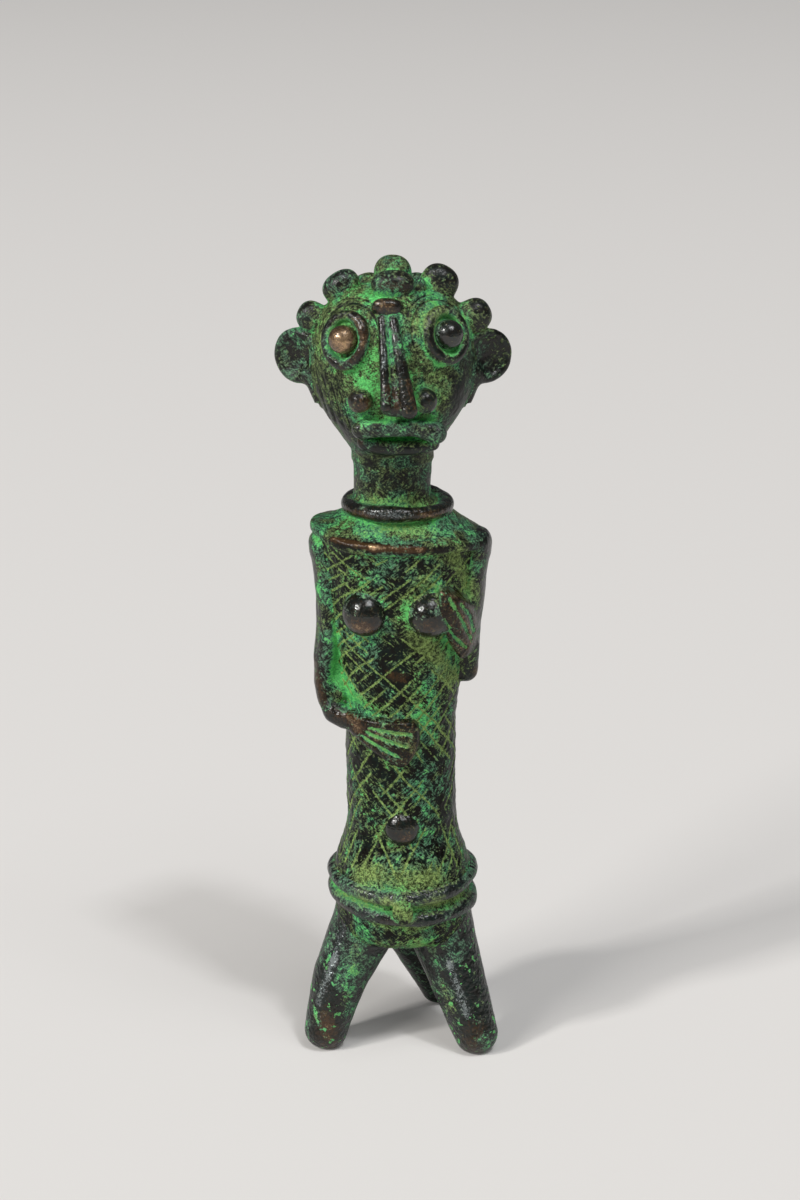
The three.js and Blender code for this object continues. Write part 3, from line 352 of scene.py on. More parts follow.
def cap_form(p):
    x = p[:, 0] - trunk_axis(TRUNK_TOP)
    slope = smooth(np.abs(x), NECK_COIL_RADIUS, CAP_HALF[0])
    z = p[:, 2] - TRUNK_TOP + np.sign(x) * slope * CAP_HALF[0] * math.sin(CAP_TILT)
    e = np.hypot(x / CAP_HALF[0], p[:, 1] / CAP_HALF[1])
    crown = (NECK_COIL_RADIUS + 0.7) / CAP_HALF[0]
    share = np.clip((0.97 - e) / (0.97 - crown), 0, 1)
    top = mix(CAP_RIM / 2, CAP_RISE, share**1.25)
    side = ellipse_distance(x, p[:, 1], *CAP_HALF)
    return smax(smax((z - top) * 0.9, -CAP_RIM / 2 - z, 0.4), side, 0.7)


# Neck and neck coil


def neck_form(p):
    share = np.clip((p[:, 2] - NECK_FOOT) / NECK_LENGTH, 0, 1)
    radius = NECK_RADIUS - NECK_WAISTING * np.sin(share * math.pi)
    foot = np.exp(-(((p[:, 2] - NECK_FOOT - 0.4) / 1.5) ** 2))
    radius = radius + NECK_FLARE * foot
    d = np.hypot(p[:, 0] - mix(NECK_OFFSET, NECK_COIL_OFFSET, foot), p[:, 1]) - radius
    middle = (NECK_FOOT + HEAD_FOOT) / 2
    return np.maximum(d, np.abs(p[:, 2] - middle) - NECK_LENGTH / 2 - 1.5)


def ring_form(p, centre_x, height, half, thread, wobble, sag=0.0, droop=0.0, tilt=0.0):
    """A closed coil whose thread swells and thins on its way round. Its sides droop and it tilts along x."""
    x = p[:, 0] - centre_x
    angle = np.arctan2(p[:, 1], x)
    front = np.maximum(0, -np.sin(angle)) ** 2
    swell = 1 + 0.07 * np.sin(3 * angle + wobble) + 0.05 * np.sin(7 * angle + 2 * wobble)
    lift = 0.12 * np.sin(2 * angle + wobble) + tilt * x - droop * np.cos(angle) ** 2
    across = ellipse_distance(x, p[:, 1], *half)
    return np.hypot(across, p[:, 2] - height - lift + sag * front) - thread * swell


def neck_coil_form(p):
    height = NECK_FOOT + NECK_COIL_THREAD + 0.3
    half = (NECK_COIL_RADIUS, NECK_COIL_RADIUS)
    return ring_form(p, NECK_COIL_OFFSET, height, half, NECK_COIL_THREAD, 0.7, droop=0.6)


# Head


def head_half(z, i):
    h = np.clip(z - HEAD_FOOT, 0, HEAD_HEIGHT)
    jaw = mix(NECK_RADIUS, HEAD_HALF[i], np.sin(np.minimum(h / JAW_HEIGHT, 1) * math.pi / 2))
    share = np.clip((h - JAW_HEIGHT) / CROWN_HEIGHT, 0, 1)
    crown = HEAD_HALF[i] * (1 - share**CROWN_POWER) ** (1 / CROWN_POWER)
    return np.where(h < JAW_HEIGHT, jaw, crown)


def head_axis_y(z):
    share = np.clip((z - HEAD_FOOT) / JAW_HEIGHT, 0, 1)
    return -JAW_FORWARD * np.maximum(np.sin(share * math.pi), 0) ** 1.2


def on_face(x, z, stand=0.0):
    share = np.clip(x / head_half(z, 0), -0.98, 0.98)
    y = head_axis_y(z) - head_half(z, 1) * math.sqrt(1 - share**2) - stand
    return np.array([x + HEAD_OFFSET, float(y), z])


def on_scalp(angle, turn):
    rise = math.cos(angle)
    side = np.array([math.cos(turn), math.sin(turn)]) * math.sin(angle)
    up = (max(rise, 0) / CROWN_HEIGHT) ** CROWN_POWER
    flat = math.hypot(side[0] / HEAD_HALF[0], side[1] / HEAD_HALF[1]) ** CROWN_POWER
    reach = (up + flat) ** (-1 / CROWN_POWER)
    return np.array([HEAD_OFFSET + side[0] * reach, side[1] * reach, CROWN_FOOT + rise * reach])


def head_form(p):
    z = p[:, 2]
    x = p[:, 0] - HEAD_OFFSET
    y = p[:, 1] - head_axis_y(z)
    h = z - HEAD_FOOT
    phase = np.clip(h / JAW_HEIGHT, 0, 1) * math.pi / 2
    wide, deep = (mix(NECK_RADIUS, half, np.sin(phase)) for half in HEAD_HALF)
    lean = (HEAD_HALF[0] - NECK_RADIUS) * np.cos(phase) * (math.pi / 2) / JAW_HEIGHT
    jaw = ellipse_distance(x, y, wide, deep) / np.sqrt(1 + lean**2)
    rise = np.maximum((h - JAW_HEIGHT) / CROWN_HEIGHT, 0) + 1e-6
    rho = np.hypot(x / HEAD_HALF[0], y / HEAD_HALF[1]) + 1e-6
    e = (rho**CROWN_POWER + rise**CROWN_POWER) ** (1 / CROWN_POWER)
    slope_rho = np.hypot(x / HEAD_HALF[0] ** 2, y / HEAD_HALF[1] ** 2) / rho
    along = rho ** (CROWN_POWER - 1) * slope_rho
    upward = rise ** (CROWN_POWER - 1) / CROWN_HEIGHT
    slope = np.hypot(along, upward) * e ** (1 - CROWN_POWER)
    crown = (e - 1) / np.maximum(slope, 1e-6)
    d = np.where(h < JAW_HEIGHT, jaw, crown)
    return np.maximum(d, HEAD_FOOT - 1.2 - z)


def melted(a, b, k):
    """Two forms run together with a fillet of size k"""
    return lambda p: smin(a(p), b(p), k)


def ball_form(centre, radius):
    return lambda p: np.linalg.norm(p - centre, axis=1) - radius


def lump_form(centre, half, power=2.0, axes=np.eye(3)):
    """An ellipsoid whose axes are rows, or a squarer body with a power above 2"""
    return lambda p: ellipsoid_distance((p - centre) @ axes.T, np.array(half), power)


def ear_centre(side):
    return np.array([HEAD_OFFSET + side * EAR_SPREAD, 0.0, HEAD_TOP - EAR_DROP])


def ear_form(side):
    """A cupped disc with a rim, and a web from it down to the jaw"""
    centre = ear_centre(side)
    c, s = math.cos(EAR_YAW), math.sin(EAR_YAW)
    normal = np.array([side * s, -c, 0.0])
    inward = np.array([-side * c, -s, 0.0])
    half = EAR_THICKNESS / 2
    cup = centre + normal * (half + EAR_CUP_RADIUS - EAR_CUP_DEPTH)
    web_path = [centre + inward * reach - np.array([0, 0, drop]) for reach, drop, _ in EAR_WEB]
    web_size = [size for _, _, size in EAR_WEB]
    web = roll_form(web_path, web_size, web_size, normal)

    def shell(p):
        v = p - centre
        out = v @ normal
        radial = np.linalg.norm(v - out[:, None] * normal, axis=1)
        disc = np.hypot(np.maximum(radial - (EAR_RADIUS - half), 0), out) - half
        rim = np.hypot(radial - EAR_RADIUS + EAR_RIM_INSET, out - half * 0.6) - EAR_RIM_RADIUS
        return smin(smax(disc, EAR_CUP_RADIUS - np.linalg.norm(p - cup, axis=1), 0.3), rim, 0.4)

    return melted(shell, web, 1.0)


def eye_frame(side):
    z = HEAD_TOP - EYE_DROP + side * EYE_TILT
    x = side * EYE_SPACING + EYE_SHIFT
    sideways = on_face(x + 0.5, z) - on_face(x - 0.5, z)
    upwards = on_face(x, z + 0.5) - on_face(x, z - 0.5)
    normal = unit(np.cross(sideways, upwards))
    across = unit(sideways)
    return on_face(x, z), normal, across, np.cross(normal, across)


def eye_ring_form(side):
    middle, normal, across, up = eye_frame(side)

    def form(p):
        v = p - middle
        flat = ellipse_distance(v @ across, v @ up, *EYE_RING_HALF)
        angle = np.arctan2(v @ up, v @ across)
        thread = EYE_RING_THREAD * (1 + 0.08 * np.sin(3 * angle + side))
        return np.hypot(flat, v @ normal) - thread

    return form


def eyeball_centre(side):
    middle, normal, _, _ = eye_frame(side)
    return middle + normal * EYEBALL_STAND


NOSE_TOP_Z = HEAD_TOP - NOSE_TOP_DROP
NOSE_TIP_Z = NOSE_TOP_Z - NOSE_LENGTH
NOSTRIL_Z = NOSE_TIP_Z + NOSTRIL_RISE
UPPER_LIP_Z = NOSTRIL_Z - NOSTRIL_RADIUS - NOSTRIL_LIP_GAP - UPPER_LIP_RADIUS
LOWER_LIP_Z = UPPER_LIP_Z - UPPER_LIP_RADIUS - LIP_GAP - LOWER_LIP_RADIUS


def roll_form(path, across, out, outward):
    """A chain of tapering rolls with elliptical sections. across and out are half sizes, one per point."""
    path = np.asarray(path, float)
    across = np.broadcast_to(np.asarray(across, float), len(path))
    out = np.broadcast_to(np.asarray(out, float), len(path))

    def form(p):
        best = np.full(len(p), 1e6)
        for i in range(len(path) - 1):
            a, b = path[i], path[i + 1]
            tangent = unit(b - a)
            o = unit(np.asarray(outward, float) - tangent * np.dot(outward, tangent))
            s = np.cross(tangent, o)
            length = np.linalg.norm(b - a)
            along = (p - a) @ tangent
            t = np.clip(along / length, 0, 1)
            v = p - a - np.outer(t * length, tangent)
            ha = mix(across[i], across[i + 1], t)
            ho = mix(out[i], out[i + 1], t)
            hl = np.minimum(ha, ho)
            c1, c2, c3 = v @ s, v @ o, v @ tangent
            e = np.sqrt((c1 / ha) ** 2 + (c2 / ho) ** 2 + (c3 / hl) ** 2)
            slope = np.sqrt((c1 / ha**2) ** 2 + (c2 / ho**2) ** 2 + (c3 / hl**2) ** 2)
            d = np.where(e < 1e-4, -hl, (e - 1) * e / np.maximum(slope, 1e-6))
            best = np.minimum(best, d)
        return best

    return form


def nose_line(shift, stand, longer=0.0):
    """A line down the nose. shift and stand are each a pair, for the root and the tip."""
    points = []
    for share in np.linspace(0, 1, 4):
        x = mix(-NOSE_SLANT / 2, NOSE_SLANT / 2, share) + mix(*shift, share)
        reach = NOSE_TIP_REACH * share**1.2 - NOSE_ROOT_SINK
        points.append(on_face(x, mix(NOSE_TOP_Z, NOSE_TIP_Z - longer, share), reach + mix(*stand, share)))
    return catmull(points, 8)


def nose_form():
    """A tapering core with a ridge down each side of it"""
    across, out = np.linspace(*NOSE_CORE_ACROSS, 8), np.linspace(*NOSE_CORE_OUT, 8)
    core = roll_form(nose_line((0, 0), (0, 0)), across, out, FORWARD)
    right, left = (
        roll_form(nose_line(shift, stand, longer), np.linspace(*half, 8), np.linspace(*half, 8), FORWARD)
        for shift, stand, longer, half in NOSE_RIDGES
    )
    return melted(core, lambda p: np.minimum(left(p), right(p)), 0.25)


def lip_points(z, half_width, right_droop=0.0, left_droop=0.0, reach=LIP_REACH):
    points = []
    for share in np.linspace(-1, 1, 5):
        along = on_face(share * half_width, z, reach)
        along[1] = mix(along[1], on_face(0, z, reach)[1], 0.4)
        along[0] += LIP_OFFSET
        along[2] -= share**4 * (left_droop if share > 0 else right_droop)
        points.append(along)
    return catmull(points, 9)


def knob_form(size, angle, turn):
    place = on_scalp(angle, turn)
    out = unit(place - np.array([HEAD_OFFSET, 0, CROWN_FOOT]))
    place = place + out * KNOB_STAND
    return lump_form(place, size, KNOB_POWER, turned_to(out)), place


FRONT = -math.pi / 2
BACK = math.pi / 2
# Half sizes of each knob, its angle down from the crown in degrees, and which way it lies
KNOBS = {
    "crest_front_knob": ((3.3, 2.1, 2.1), 19.5, FRONT),
    "crest_top_knob": ((2.9, 2.9, 3.0), 2.5, BACK),
    "crest_back_knob": ((2.7, 2.3, 2.2), 62, BACK),
    "crest_nape_knob": ((2.7, 2.3, 2.2), 94, BACK),
    "right_temple_knob": ((3.0, 2.3, 2.2), 35, math.pi),
    "left_temple_knob": ((2.9, 2.3, 2.9), 31, 0.0),
    "right_side_knob": ((2.3, 2.4, 2.3), 62, math.pi),
    "left_side_knob": ((2.6, 2.4, 2.8), 62, 0.0),
    "right_rear_knob": ((2.5, 2.3, 2.3), 45, math.pi - math.radians(65)),
    "left_rear_knob": ((2.5, 2.3, 2.3), 45, math.radians(65)),
}


# Domes on the trunk


def dome_form(x, z, radius, height):
    place = on_trunk(x, z)
    out = unit(place - np.array([trunk_axis(z), 0, z]))
    side = np.array([-out[1], out[0], 0.0])
    return lump_form(place, (radius, height, radius), axes=np.array([side, out, [0, 0, 1]])), place


BREAST_Z = TRUNK_TOP - BREAST_DROP
NAVEL_Z = HIP_HEIGHT + NAVEL_RISE


# Belt


def belt_form(rise, wobble, tilt):
    z = HIP_HEIGHT + rise
    half = (float(trunk_half(z, 0)) + BELT_STAND, float(trunk_half(z, 1)) + BELT_STAND)
    return lambda p: ring_form(p, trunk_axis(z), z, half, BELT_THREAD, wobble, BELT_SAG, tilt=tilt)


BELT_JOIN_Z = HIP_HEIGHT + (UPPER_BELT_RISE + LOWER_BELT_RISE) / 2 - BELT_SAG


# Arms


def upper_arm_points(side, drop, shoulder_stand, elbow_stand):
    points = []
    for i, z in enumerate(np.linspace(TRUNK_TOP - CAP_RIM, TRUNK_TOP - drop, 4)):
        stand = mix(shoulder_stand, elbow_stand, (i / 3) ** 2)
        x = trunk_axis(z) + side * (float(trunk_half(z, 0)) + stand)
        points.append(np.array([x, -ARM_FORWARD * i / 3, z]))
    return points


RIGHT_WRIST_Z = TRUNK_TOP - RIGHT_WRIST_DROP
RIGHT_WRIST = on_trunk(-RIGHT_WRIST_SPREAD + 1, RIGHT_WRIST_Z, RIGHT_WRIST_STAND)
RIGHT_WRIST[0] = -RIGHT_WRIST_SPREAD
LEFT_WRIST = on_trunk(LEFT_WRIST_SPREAD - 1, TRUNK_TOP - LEFT_WRIST_DROP, LEFT_WRIST_STAND)

right_upper = upper_arm_points(-1, RIGHT_ELBOW_DROP, RIGHT_SHOULDER_STAND, RIGHT_ELBOW_STAND)
RIGHT_ARM_POINTS = [
    *right_upper,
    np.array([-RIGHT_WRIST_SPREAD - 2, -RIGHT_FOREARM_FORWARD, RIGHT_WRIST_Z + 1]),
    RIGHT_WRIST,
]
LEFT_ARM_POINTS = upper_arm_points(1, LEFT_ELBOW_DROP, LEFT_SHOULDER_STAND, LEFT_ELBOW_STAND)
ARM_STEPS = 21


def length_of(path):
    return float(np.sum(np.linalg.norm(np.diff(path, axis=0), axis=1)))


right_path = catmull(RIGHT_ARM_POINTS, ARM_STEPS)
left_path = catmull(LEFT_ARM_POINTS, ARM_STEPS)
arm_shares = np.linspace(0, 1, ARM_STEPS)
right_taper = smooth(arm_shares, 0.5, 1)
right_across = mix(RIGHT_ARM_HALF_BREADTH, WRIST_RADIUS, right_taper)
right_out = mix(ARM_HALF_THICKNESS, WRIST_RADIUS, right_taper)
left_across = mix(LEFT_ARM_HALF_BREADTH, ARM_HALF_THICKNESS, smooth(arm_shares, 0.5, 1))
left_out = np.full(ARM_STEPS, ARM_HALF_THICKNESS)


def arm_outward(side):
    return (side * math.cos(ARM_YAW), -math.sin(ARM_YAW), 0.0)


def stretch(path, across, out, start, end, grow, side):
    """The roll of a path between two shares of its length, thickened by grow"""
    at = np.linspace(start, end, max(3, int((end - start) * ARM_STEPS)))
    shares = np.linspace(0, 1, len(path))
    points = np.stack([np.interp(at, shares, path[:, c]) for c in range(3)], axis=1)
    wide = np.interp(at, shares, across) + grow
    thick = np.interp(at, shares, out) + grow
    return roll_form(points, wide, thick, arm_outward(side)), points


# Hands, as flat shapes that follow what they lie on


def along_hand(p, wrist, slope):
    """How far points lie from the wrist along a hand, and across it"""
    x, z = p[:, 0] - wrist[0], p[:, 2] - wrist[2]
    c, s = math.cos(slope), math.sin(slope)
    return x * c + z * s, -x * s + z * c


def fan_outline(p):
    u, v = along_hand(p, RIGHT_WRIST, RIGHT_HAND_SLOPE)
    share = np.clip(u / (RIGHT_HAND_LENGTH * 0.88), -0.3, 1.2)
    half = mix(RIGHT_HAND_WRIST_WIDTH, RIGHT_HAND_TIP_WIDTH, share) / 2
    tip = u - (RIGHT_HAND_LENGTH + 0.3 - 0.085 * v * v)
    return u, v, smax(smax((np.abs(v) - half) * 0.95, tip, 1.2), -u - 0.4, 0.6)


def leaf_outline(p):
    u, v = along_hand(p, LEFT_WRIST, LEFT_HAND_SLOPE)
    share = np.clip(u / LEFT_HAND_LENGTH, 0, 1)
    v = v + LEFT_HAND_BULGE * 4 * share * (1 - share)
    half = LEFT_HAND_WIDTH * (0.3 + 1.05 * share - 1.35 * share**2)
    ends = np.maximum(-u - 0.3, u - LEFT_HAND_LENGTH)
    return share, v, smax((np.abs(v) - half) * 0.9, ends, 0.5)


# The form of each node

forms = {}
# How much faster than its neighbours a form's distance grows, which makes its edge crisper
CRISP = {
    "cap": 2.0, "eye": 1.8, "hand": 1.6, "knob": 1.3, "nose": 1.6, "lip": 1.3, "breast": 1.2, "ear": 1.3,
}
FORM_MARGIN = 6 * FILLET + 0.6


def add_form(name, form, low, high, polish):
    """polish is 0 for rough patina and 1 for a surface that is smooth from handling"""
    forms[name] = {
        "form": form,
        "low": np.asarray(low, float) - FORM_MARGIN,
        "high": np.asarray(high, float) + FORM_MARGIN,
        "polish": polish,
        "crisp": next((value for word, value in CRISP.items() if word in name), 1.0),
    }


def add_path(name, form, points, reach, polish):
    """A form that stays within reach of its points"""
    points = np.atleast_2d(points)
    add_form(name, form, points.min(0) - reach, points.max(0) + reach, polish)


add_form("trunk", trunk_form, (-14.5, -12, HIP_HEIGHT), (14.5, 12, TRUNK_TOP), 0.0)
add_form("shoulder_cap", cap_form, (-15, -12, TRUNK_TOP - 2.6), (15, 12, TRUNK_TOP + 4.6), 0.1)
add_form("neck", neck_form, (-7.6, -6.6, NECK_FOOT - 1), (5.4, 6.6, HEAD_FOOT + 1), 0.3)
add_form("neck_coil", neck_coil_form, (-9.6, -9, NECK_FOOT - 0.2), (8.6, 9, NECK_FOOT + 3), 0.4)
add_form("head", head_form, (-14, -12.6, HEAD_FOOT - 1), (12, 11, HEAD_TOP), 0.05)
for side_name, side in (("right", -1), ("left", 1)):
    add_path(side_name + "_ear", ear_form(side), ear_centre(side), EAR_RADIUS + 0.4, 0.4)
    add_path(side_name + "_eye_ring", eye_ring_form(side), eye_frame(side)[0], 5.2, 0.6)
    place = eyeball_centre(side)
    add_path(side_name + "_eyeball", ball_form(place, EYEBALL_RADIUS), place, EYEBALL_RADIUS, 0.95)
    place = on_face(side * NOSTRIL_SPACING, NOSTRIL_Z, NOSTRIL_RADIUS * 0.5)
    add_path(side_name + "_nostril", ball_form(place, NOSTRIL_RADIUS), place, NOSTRIL_RADIUS, 0.6)
add_path("nose", nose_form(), nose_line((0, 0), (0, 0)), 3.4, 0.5)
points = lip_points(UPPER_LIP_Z, LIP_HALF_WIDTH - UPPER_LIP_RADIUS, 0.35, 0.9)
sizes = UPPER_LIP_RADIUS * np.interp(np.arange(9), [0, 2, 6, 8], [1.15, 1.0, 1.0, 1.35])
add_path("upper_lip", roll_form(points, sizes, sizes, FORWARD), points, 1.8, 0.5)
points = lip_points(LOWER_LIP_Z, LOWER_LIP_HALF_WIDTH - LOWER_LIP_RADIUS, -0.6, -0.4, LIP_REACH + 0.4)
add_path("lower_lip", roll_form(points, LOWER_LIP_RADIUS, LOWER_LIP_RADIUS, FORWARD), points, 1.3, 0.2)
place = on_face(-NOSE_SLANT / 2, HEAD_TOP - PELLET_DROP, PELLET_STAND)
add_path("forehead_pellet", lump_form(place, PELLET_HALF, KNOB_POWER), place, 2.4, 0.7)
for knob_name, (size, degrees, turn) in KNOBS.items():
    form, place = knob_form(size, math.radians(degrees), turn)
    reach = max(size)
    if knob_name == "left_temple_knob":
        lobe = on_scalp(math.radians(21), math.radians(-35)) + np.array([0, 0, 0.2])
        form = melted(form, ball_form(lobe, 1.5), 0.5)
        reach += 1.2
    add_path(knob_name, form, place, reach + 0.3, 0.8)

for side_name, spacing in BREAST_SPACING.items():
    form, place = dome_form(trunk_axis(BREAST_Z) + spacing, BREAST_Z, BREAST_RADIUS, BREAST_HEIGHT)
    add_path(side_name + "_breast", form, place, BREAST_RADIUS, 1.0)
form, place = dome_form(trunk_axis(NAVEL_Z), NAVEL_Z, NAVEL_RADIUS, NAVEL_HEIGHT)
add_path("navel", form, place, NAVEL_RADIUS, 0.9)

for belt_name, rise, wobble, tilt in (
    ("upper_belt_coil", UPPER_BELT_RISE, 0.4, 0.0),
    ("lower_belt_coil", LOWER_BELT_RISE, 2.1, LOWER_BELT_TILT),
):
    z = HIP_HEIGHT + rise
    add_form(belt_name, belt_form(rise, wobble, tilt), (-12.3, -12.6, z - 3), (13.3, 12.6, z + 2.6), 0.4)
place = on_trunk(trunk_axis(BELT_JOIN_Z), BELT_JOIN_Z, BELT_STAND + BELT_THREAD + 0.3)
join_half = (1.7, 0.8, (UPPER_BELT_RISE - LOWER_BELT_RISE) / 2 + 0.3)
add_path("belt_join", lump_form(place, join_half), place, 2.7, 0.1)

# Each arm is a band, a long roll and, on the right, a second band before the hand. The rounded end of an
# armlet's roll takes up the rest of its length.
ARMLET_SHARE = 0.6
ARM_INSET = 0.03
right_band = 1 - WRIST_BAND_LENGTH / length_of(right_path)
right_armlet = ARMLET_LENGTH / length_of(right_path) * ARMLET_SHARE
left_armlet = ARMLET_LENGTH / length_of(left_path) * ARMLET_SHARE
right_arm = (right_path, right_across, right_out)
left_arm = (left_path, left_across, left_out)
roll, points = stretch(*right_arm, ARM_INSET, right_band - ARM_INSET, 0, -1)
web_points = catmull(WEB_POINTS, 7)
web = roll_form(web_points, WEB_HALF_BREADTHS, WEB_HALF_DEPTH, FORWARD)
add_path("right_arm", melted(roll, web, 0.9), np.vstack([points, web_points]), 3.6, 0.3)
roll, points = stretch(*right_arm, 0, right_armlet, ARMLET_PROUD, -1)
add_path("right_armlet", roll, points, 3.6, 0.3)
roll, points = stretch(*right_arm, right_band, 1.0, ARMLET_PROUD, -1)
add_path("right_wrist_band", roll, points, 2.2, 0.6)
roll, points = stretch(*left_arm, ARM_INSET, 1, 0, 1)
forearm = roll_form([LEFT_ARM_POINTS[-1], LEFT_WRIST], WRIST_RADIUS, WRIST_RADIUS, arm_outward(1))
add_path("left_arm", melted(roll, forearm, 0.8), np.vstack([points, [LEFT_WRIST]]), 4.4, 0.35)
roll, points = stretch(*left_arm, 0, left_armlet, ARMLET_PROUD, 1)
add_path("left_armlet", roll, points, 4.4, 0.3)


def hand_form(p, outline, rise, fillet):
    """A flat shape that stands off the trunk's front by rise"""
    host = trunk_side(p)
    slab = np.maximum(host - rise, -host - 0.8)
    return np.maximum(smax(outline, slab, fillet), p[:, 1] + 1.0)


def right_hand_form(p):
    return hand_form(p, fan_outline(p)[2], HAND_THICKNESS, 1.0)


def left_hand_form(p):
    """A cupped leaf beside the breast"""
    share, v, outline = leaf_outline(p)
    rise = np.interp(share, [0, 0.35, 0.7, 1], [2.5, 3.1, 3.6, 2.9]) - 0.17 * v**2
    return hand_form(p, outline, rise, 0.8)


add_form("right_hand", right_hand_form, (-10, -13, 50), (4.5, -1, 62), 0.7)
add_form("left_hand", left_hand_form, (3, -16, 66), (15, -1, 83), 0.7)


def leg_form(hip, foot, thigh, end_radius, bow):
    """A tapering stump with a flat sole. bow moves its middle sideways."""
    end = np.array([foot[0], foot[1], end_radius - SOLE_DEPTH])
    middle = (np.asarray(hip) + end) / 2
    middle[0] += bow
    path = catmull([hip, middle, end], 7)
    size = np.linspace(thigh, end_radius, 7)
    stump = roll_form(path, size, size, FORWARD)
    return lambda p: smax(stump(p), -p[:, 2], 0.35), path


HIP_Z = HIP_HEIGHT + HIP_JOINT_RISE
HIP_X = trunk_axis(HIP_Z)
LEG_SIZES = (THIGH_RADIUS, FOOT_RADIUS)
SUPPORT_SIZES = (SUPPORT_THIGH_RADIUS, SUPPORT_FOOT_RADIUS)
for leg_name, hip_x, hip_y, foot, leg_sizes, bow in (
    ("right_leg", HIP_X - HIP_SPACING, -HIP_FORWARD, RIGHT_FOOT, LEG_SIZES, -RIGHT_LEG_BOW),
    ("left_leg", HIP_X + HIP_SPACING, -HIP_FORWARD, LEFT_FOOT, LEG_SIZES, 0),
    ("rear_support", HIP_X - SUPPORT_OFFSET, SUPPORT_BACK, SUPPORT_FOOT, SUPPORT_SIZES, 0),
):
    form, points = leg_form((hip_x, hip_y, HIP_Z), foot, *leg_sizes, bow)
    add_path(leg_name, form, points, leg_sizes[0], 0.35)


# Incised lines and grooves: each returns how deep a line is at a point, from 0 to 1


def stroke(distance, width):
    return np.exp(-((distance / width) ** 2))


def window(x, low, low_end, high_start, high):
    """1 from low_end to high_start, and soft to 0 at low and at high"""
    return smooth(x, low, low_end) * smooth(-x, -high, -high_start)


def round_trunk_line(p):
    """How far round the trunk a point is from the front, in millimetres"""
    z = p[:, 2]
    return np.arctan2(p[:, 0] - trunk_axis(z), -p[:, 1]) * (trunk_half(z, 0) + trunk_half(z, 1)) / 2


# The half width of a scratched line
LINE = 0.17
HATCH_MIDDLE = 58.0


def hatch(p):
    """Two families of scratched lines that cross each other round the trunk"""
    z = p[:, 2]
    u = round_trunk_line(p)
    wander = noise(p, 6.0, 1) * 0.5 + noise(p, 2.2, 2) * 0.12
    lines = np.zeros(len(p))
    for slope, turn, spacing, layer, keep in ((0.80, -0.006, 1.8, 2, 0.06), (-0.76, 0.008, 1.9, 3, -0.1)):
        slant = slope + turn * (z - HATCH_MIDDLE)
        c, s = np.cos(slant), np.sin(slant)
        t = (u * s - (z - HATCH_MIDDLE) * c + wander) / spacing
        line_id = np.round(t)
        off = (t - line_id) * spacing
        start = np.stack([line_id * 1.7, (u * c + z * s) / 4.5, line_id * 0.3], axis=1)
        drawn = smooth(noise(start, 1.0, layer) + keep, -0.15, 0.2)
        lines = np.maximum(lines, stroke(off, LINE) * drawn)
    return lines * window(z, HIP_HEIGHT + 12.5, HIP_HEIGHT + 15, TRUNK_TOP - 2.0, TRUNK_TOP - 1.0)


def chips(p):
    """The scaly grain between the lines, drawn out along them, from -1 to 1"""
    z = p[:, 2]
    u = round_trunk_line(p)
    out = []
    for slope, layer in ((0.80, 0), (-0.62, 1)):
        c, s = math.cos(slope), math.sin(slope)
        along, across = u * c + z * s, u * s - z * c
        out.append(noise(np.stack([along / 1.15, across / 0.42, z * 0.02], axis=1), 1.0, layer))
    share = smooth(noise(p, 2.6, 3), -0.15, 0.15)
    return mix(out[0], out[1], share)


# The gaps between the left hand's fingers, as points across and up
LEFT_GAPS = (
    ((7.6, 79.2), (9.4, 75.6), (11.0, 71.2)),
    ((7.7, 73.6), (9.0, 71.6), (10.3, 70.0)),
    ((6.7, 76.0), (7.5, 74.6), (7.8, 74.2)),
    ((9.4, 77.9), (10.9, 75.2), (11.5, 72.0)),
)


def segment_distance(points, start, end):
    """How far points are from the straight line between two others"""
    run = end - start
    share = np.clip((points - start) @ run / max(run @ run, 1e-9), 0, 1)
    return np.linalg.norm(points - start - share[:, None] * run, axis=1)


def hand_grooves(p):
    """The gaps between the fingers of both hands"""
    u, v, outline = fan_outline(p)
    lines = np.zeros(len(p))
    inside = smooth(-outline, 0.1, 0.9) * (p[:, 1] < 0)
    share = u / RIGHT_HAND_LENGTH
    for base, end, start, stop in ((0.8, 2.1, 0.26, 0.93), (0.0, -0.1, 0.22, 0.93), (-0.8, -2.2, 0.2, 0.86)):
        along = window(share, start, start + 0.12, stop - 0.08, stop)
        centre = mix(base, end, np.clip((share - start) / (stop - start), 0, 1))
        lines = np.maximum(lines, stroke(v - centre, 0.29) * along * inside)
    inside = smooth(-leaf_outline(p)[2], 0.05, 0.5) * (p[:, 1] < 0)
    width = 0.24 + 0.1 * noise(p, 1.2, 1)
    for points in LEFT_GAPS:
        for start, end in zip(np.array(points[:-1]), np.array(points[1:])):
            lines = np.maximum(lines, stroke(segment_distance(p[:, [0, 2]], start, end), width) * inside)
    return lines


# The scars on the cheek: how far each lies from the head's middle at one height, and how they slant
SCARS = (-10.6, -9.6, -8.5, -7.5)
SCAR_HEIGHT = 109.5
SCAR_SLANT = -0.28
# How far the eyes' arcs lie outside the eye rings, across and up, and how far apart the two arcs are
ARC_GROWTH = (2.2, 1.9)
ARC_SPACING = 0.85


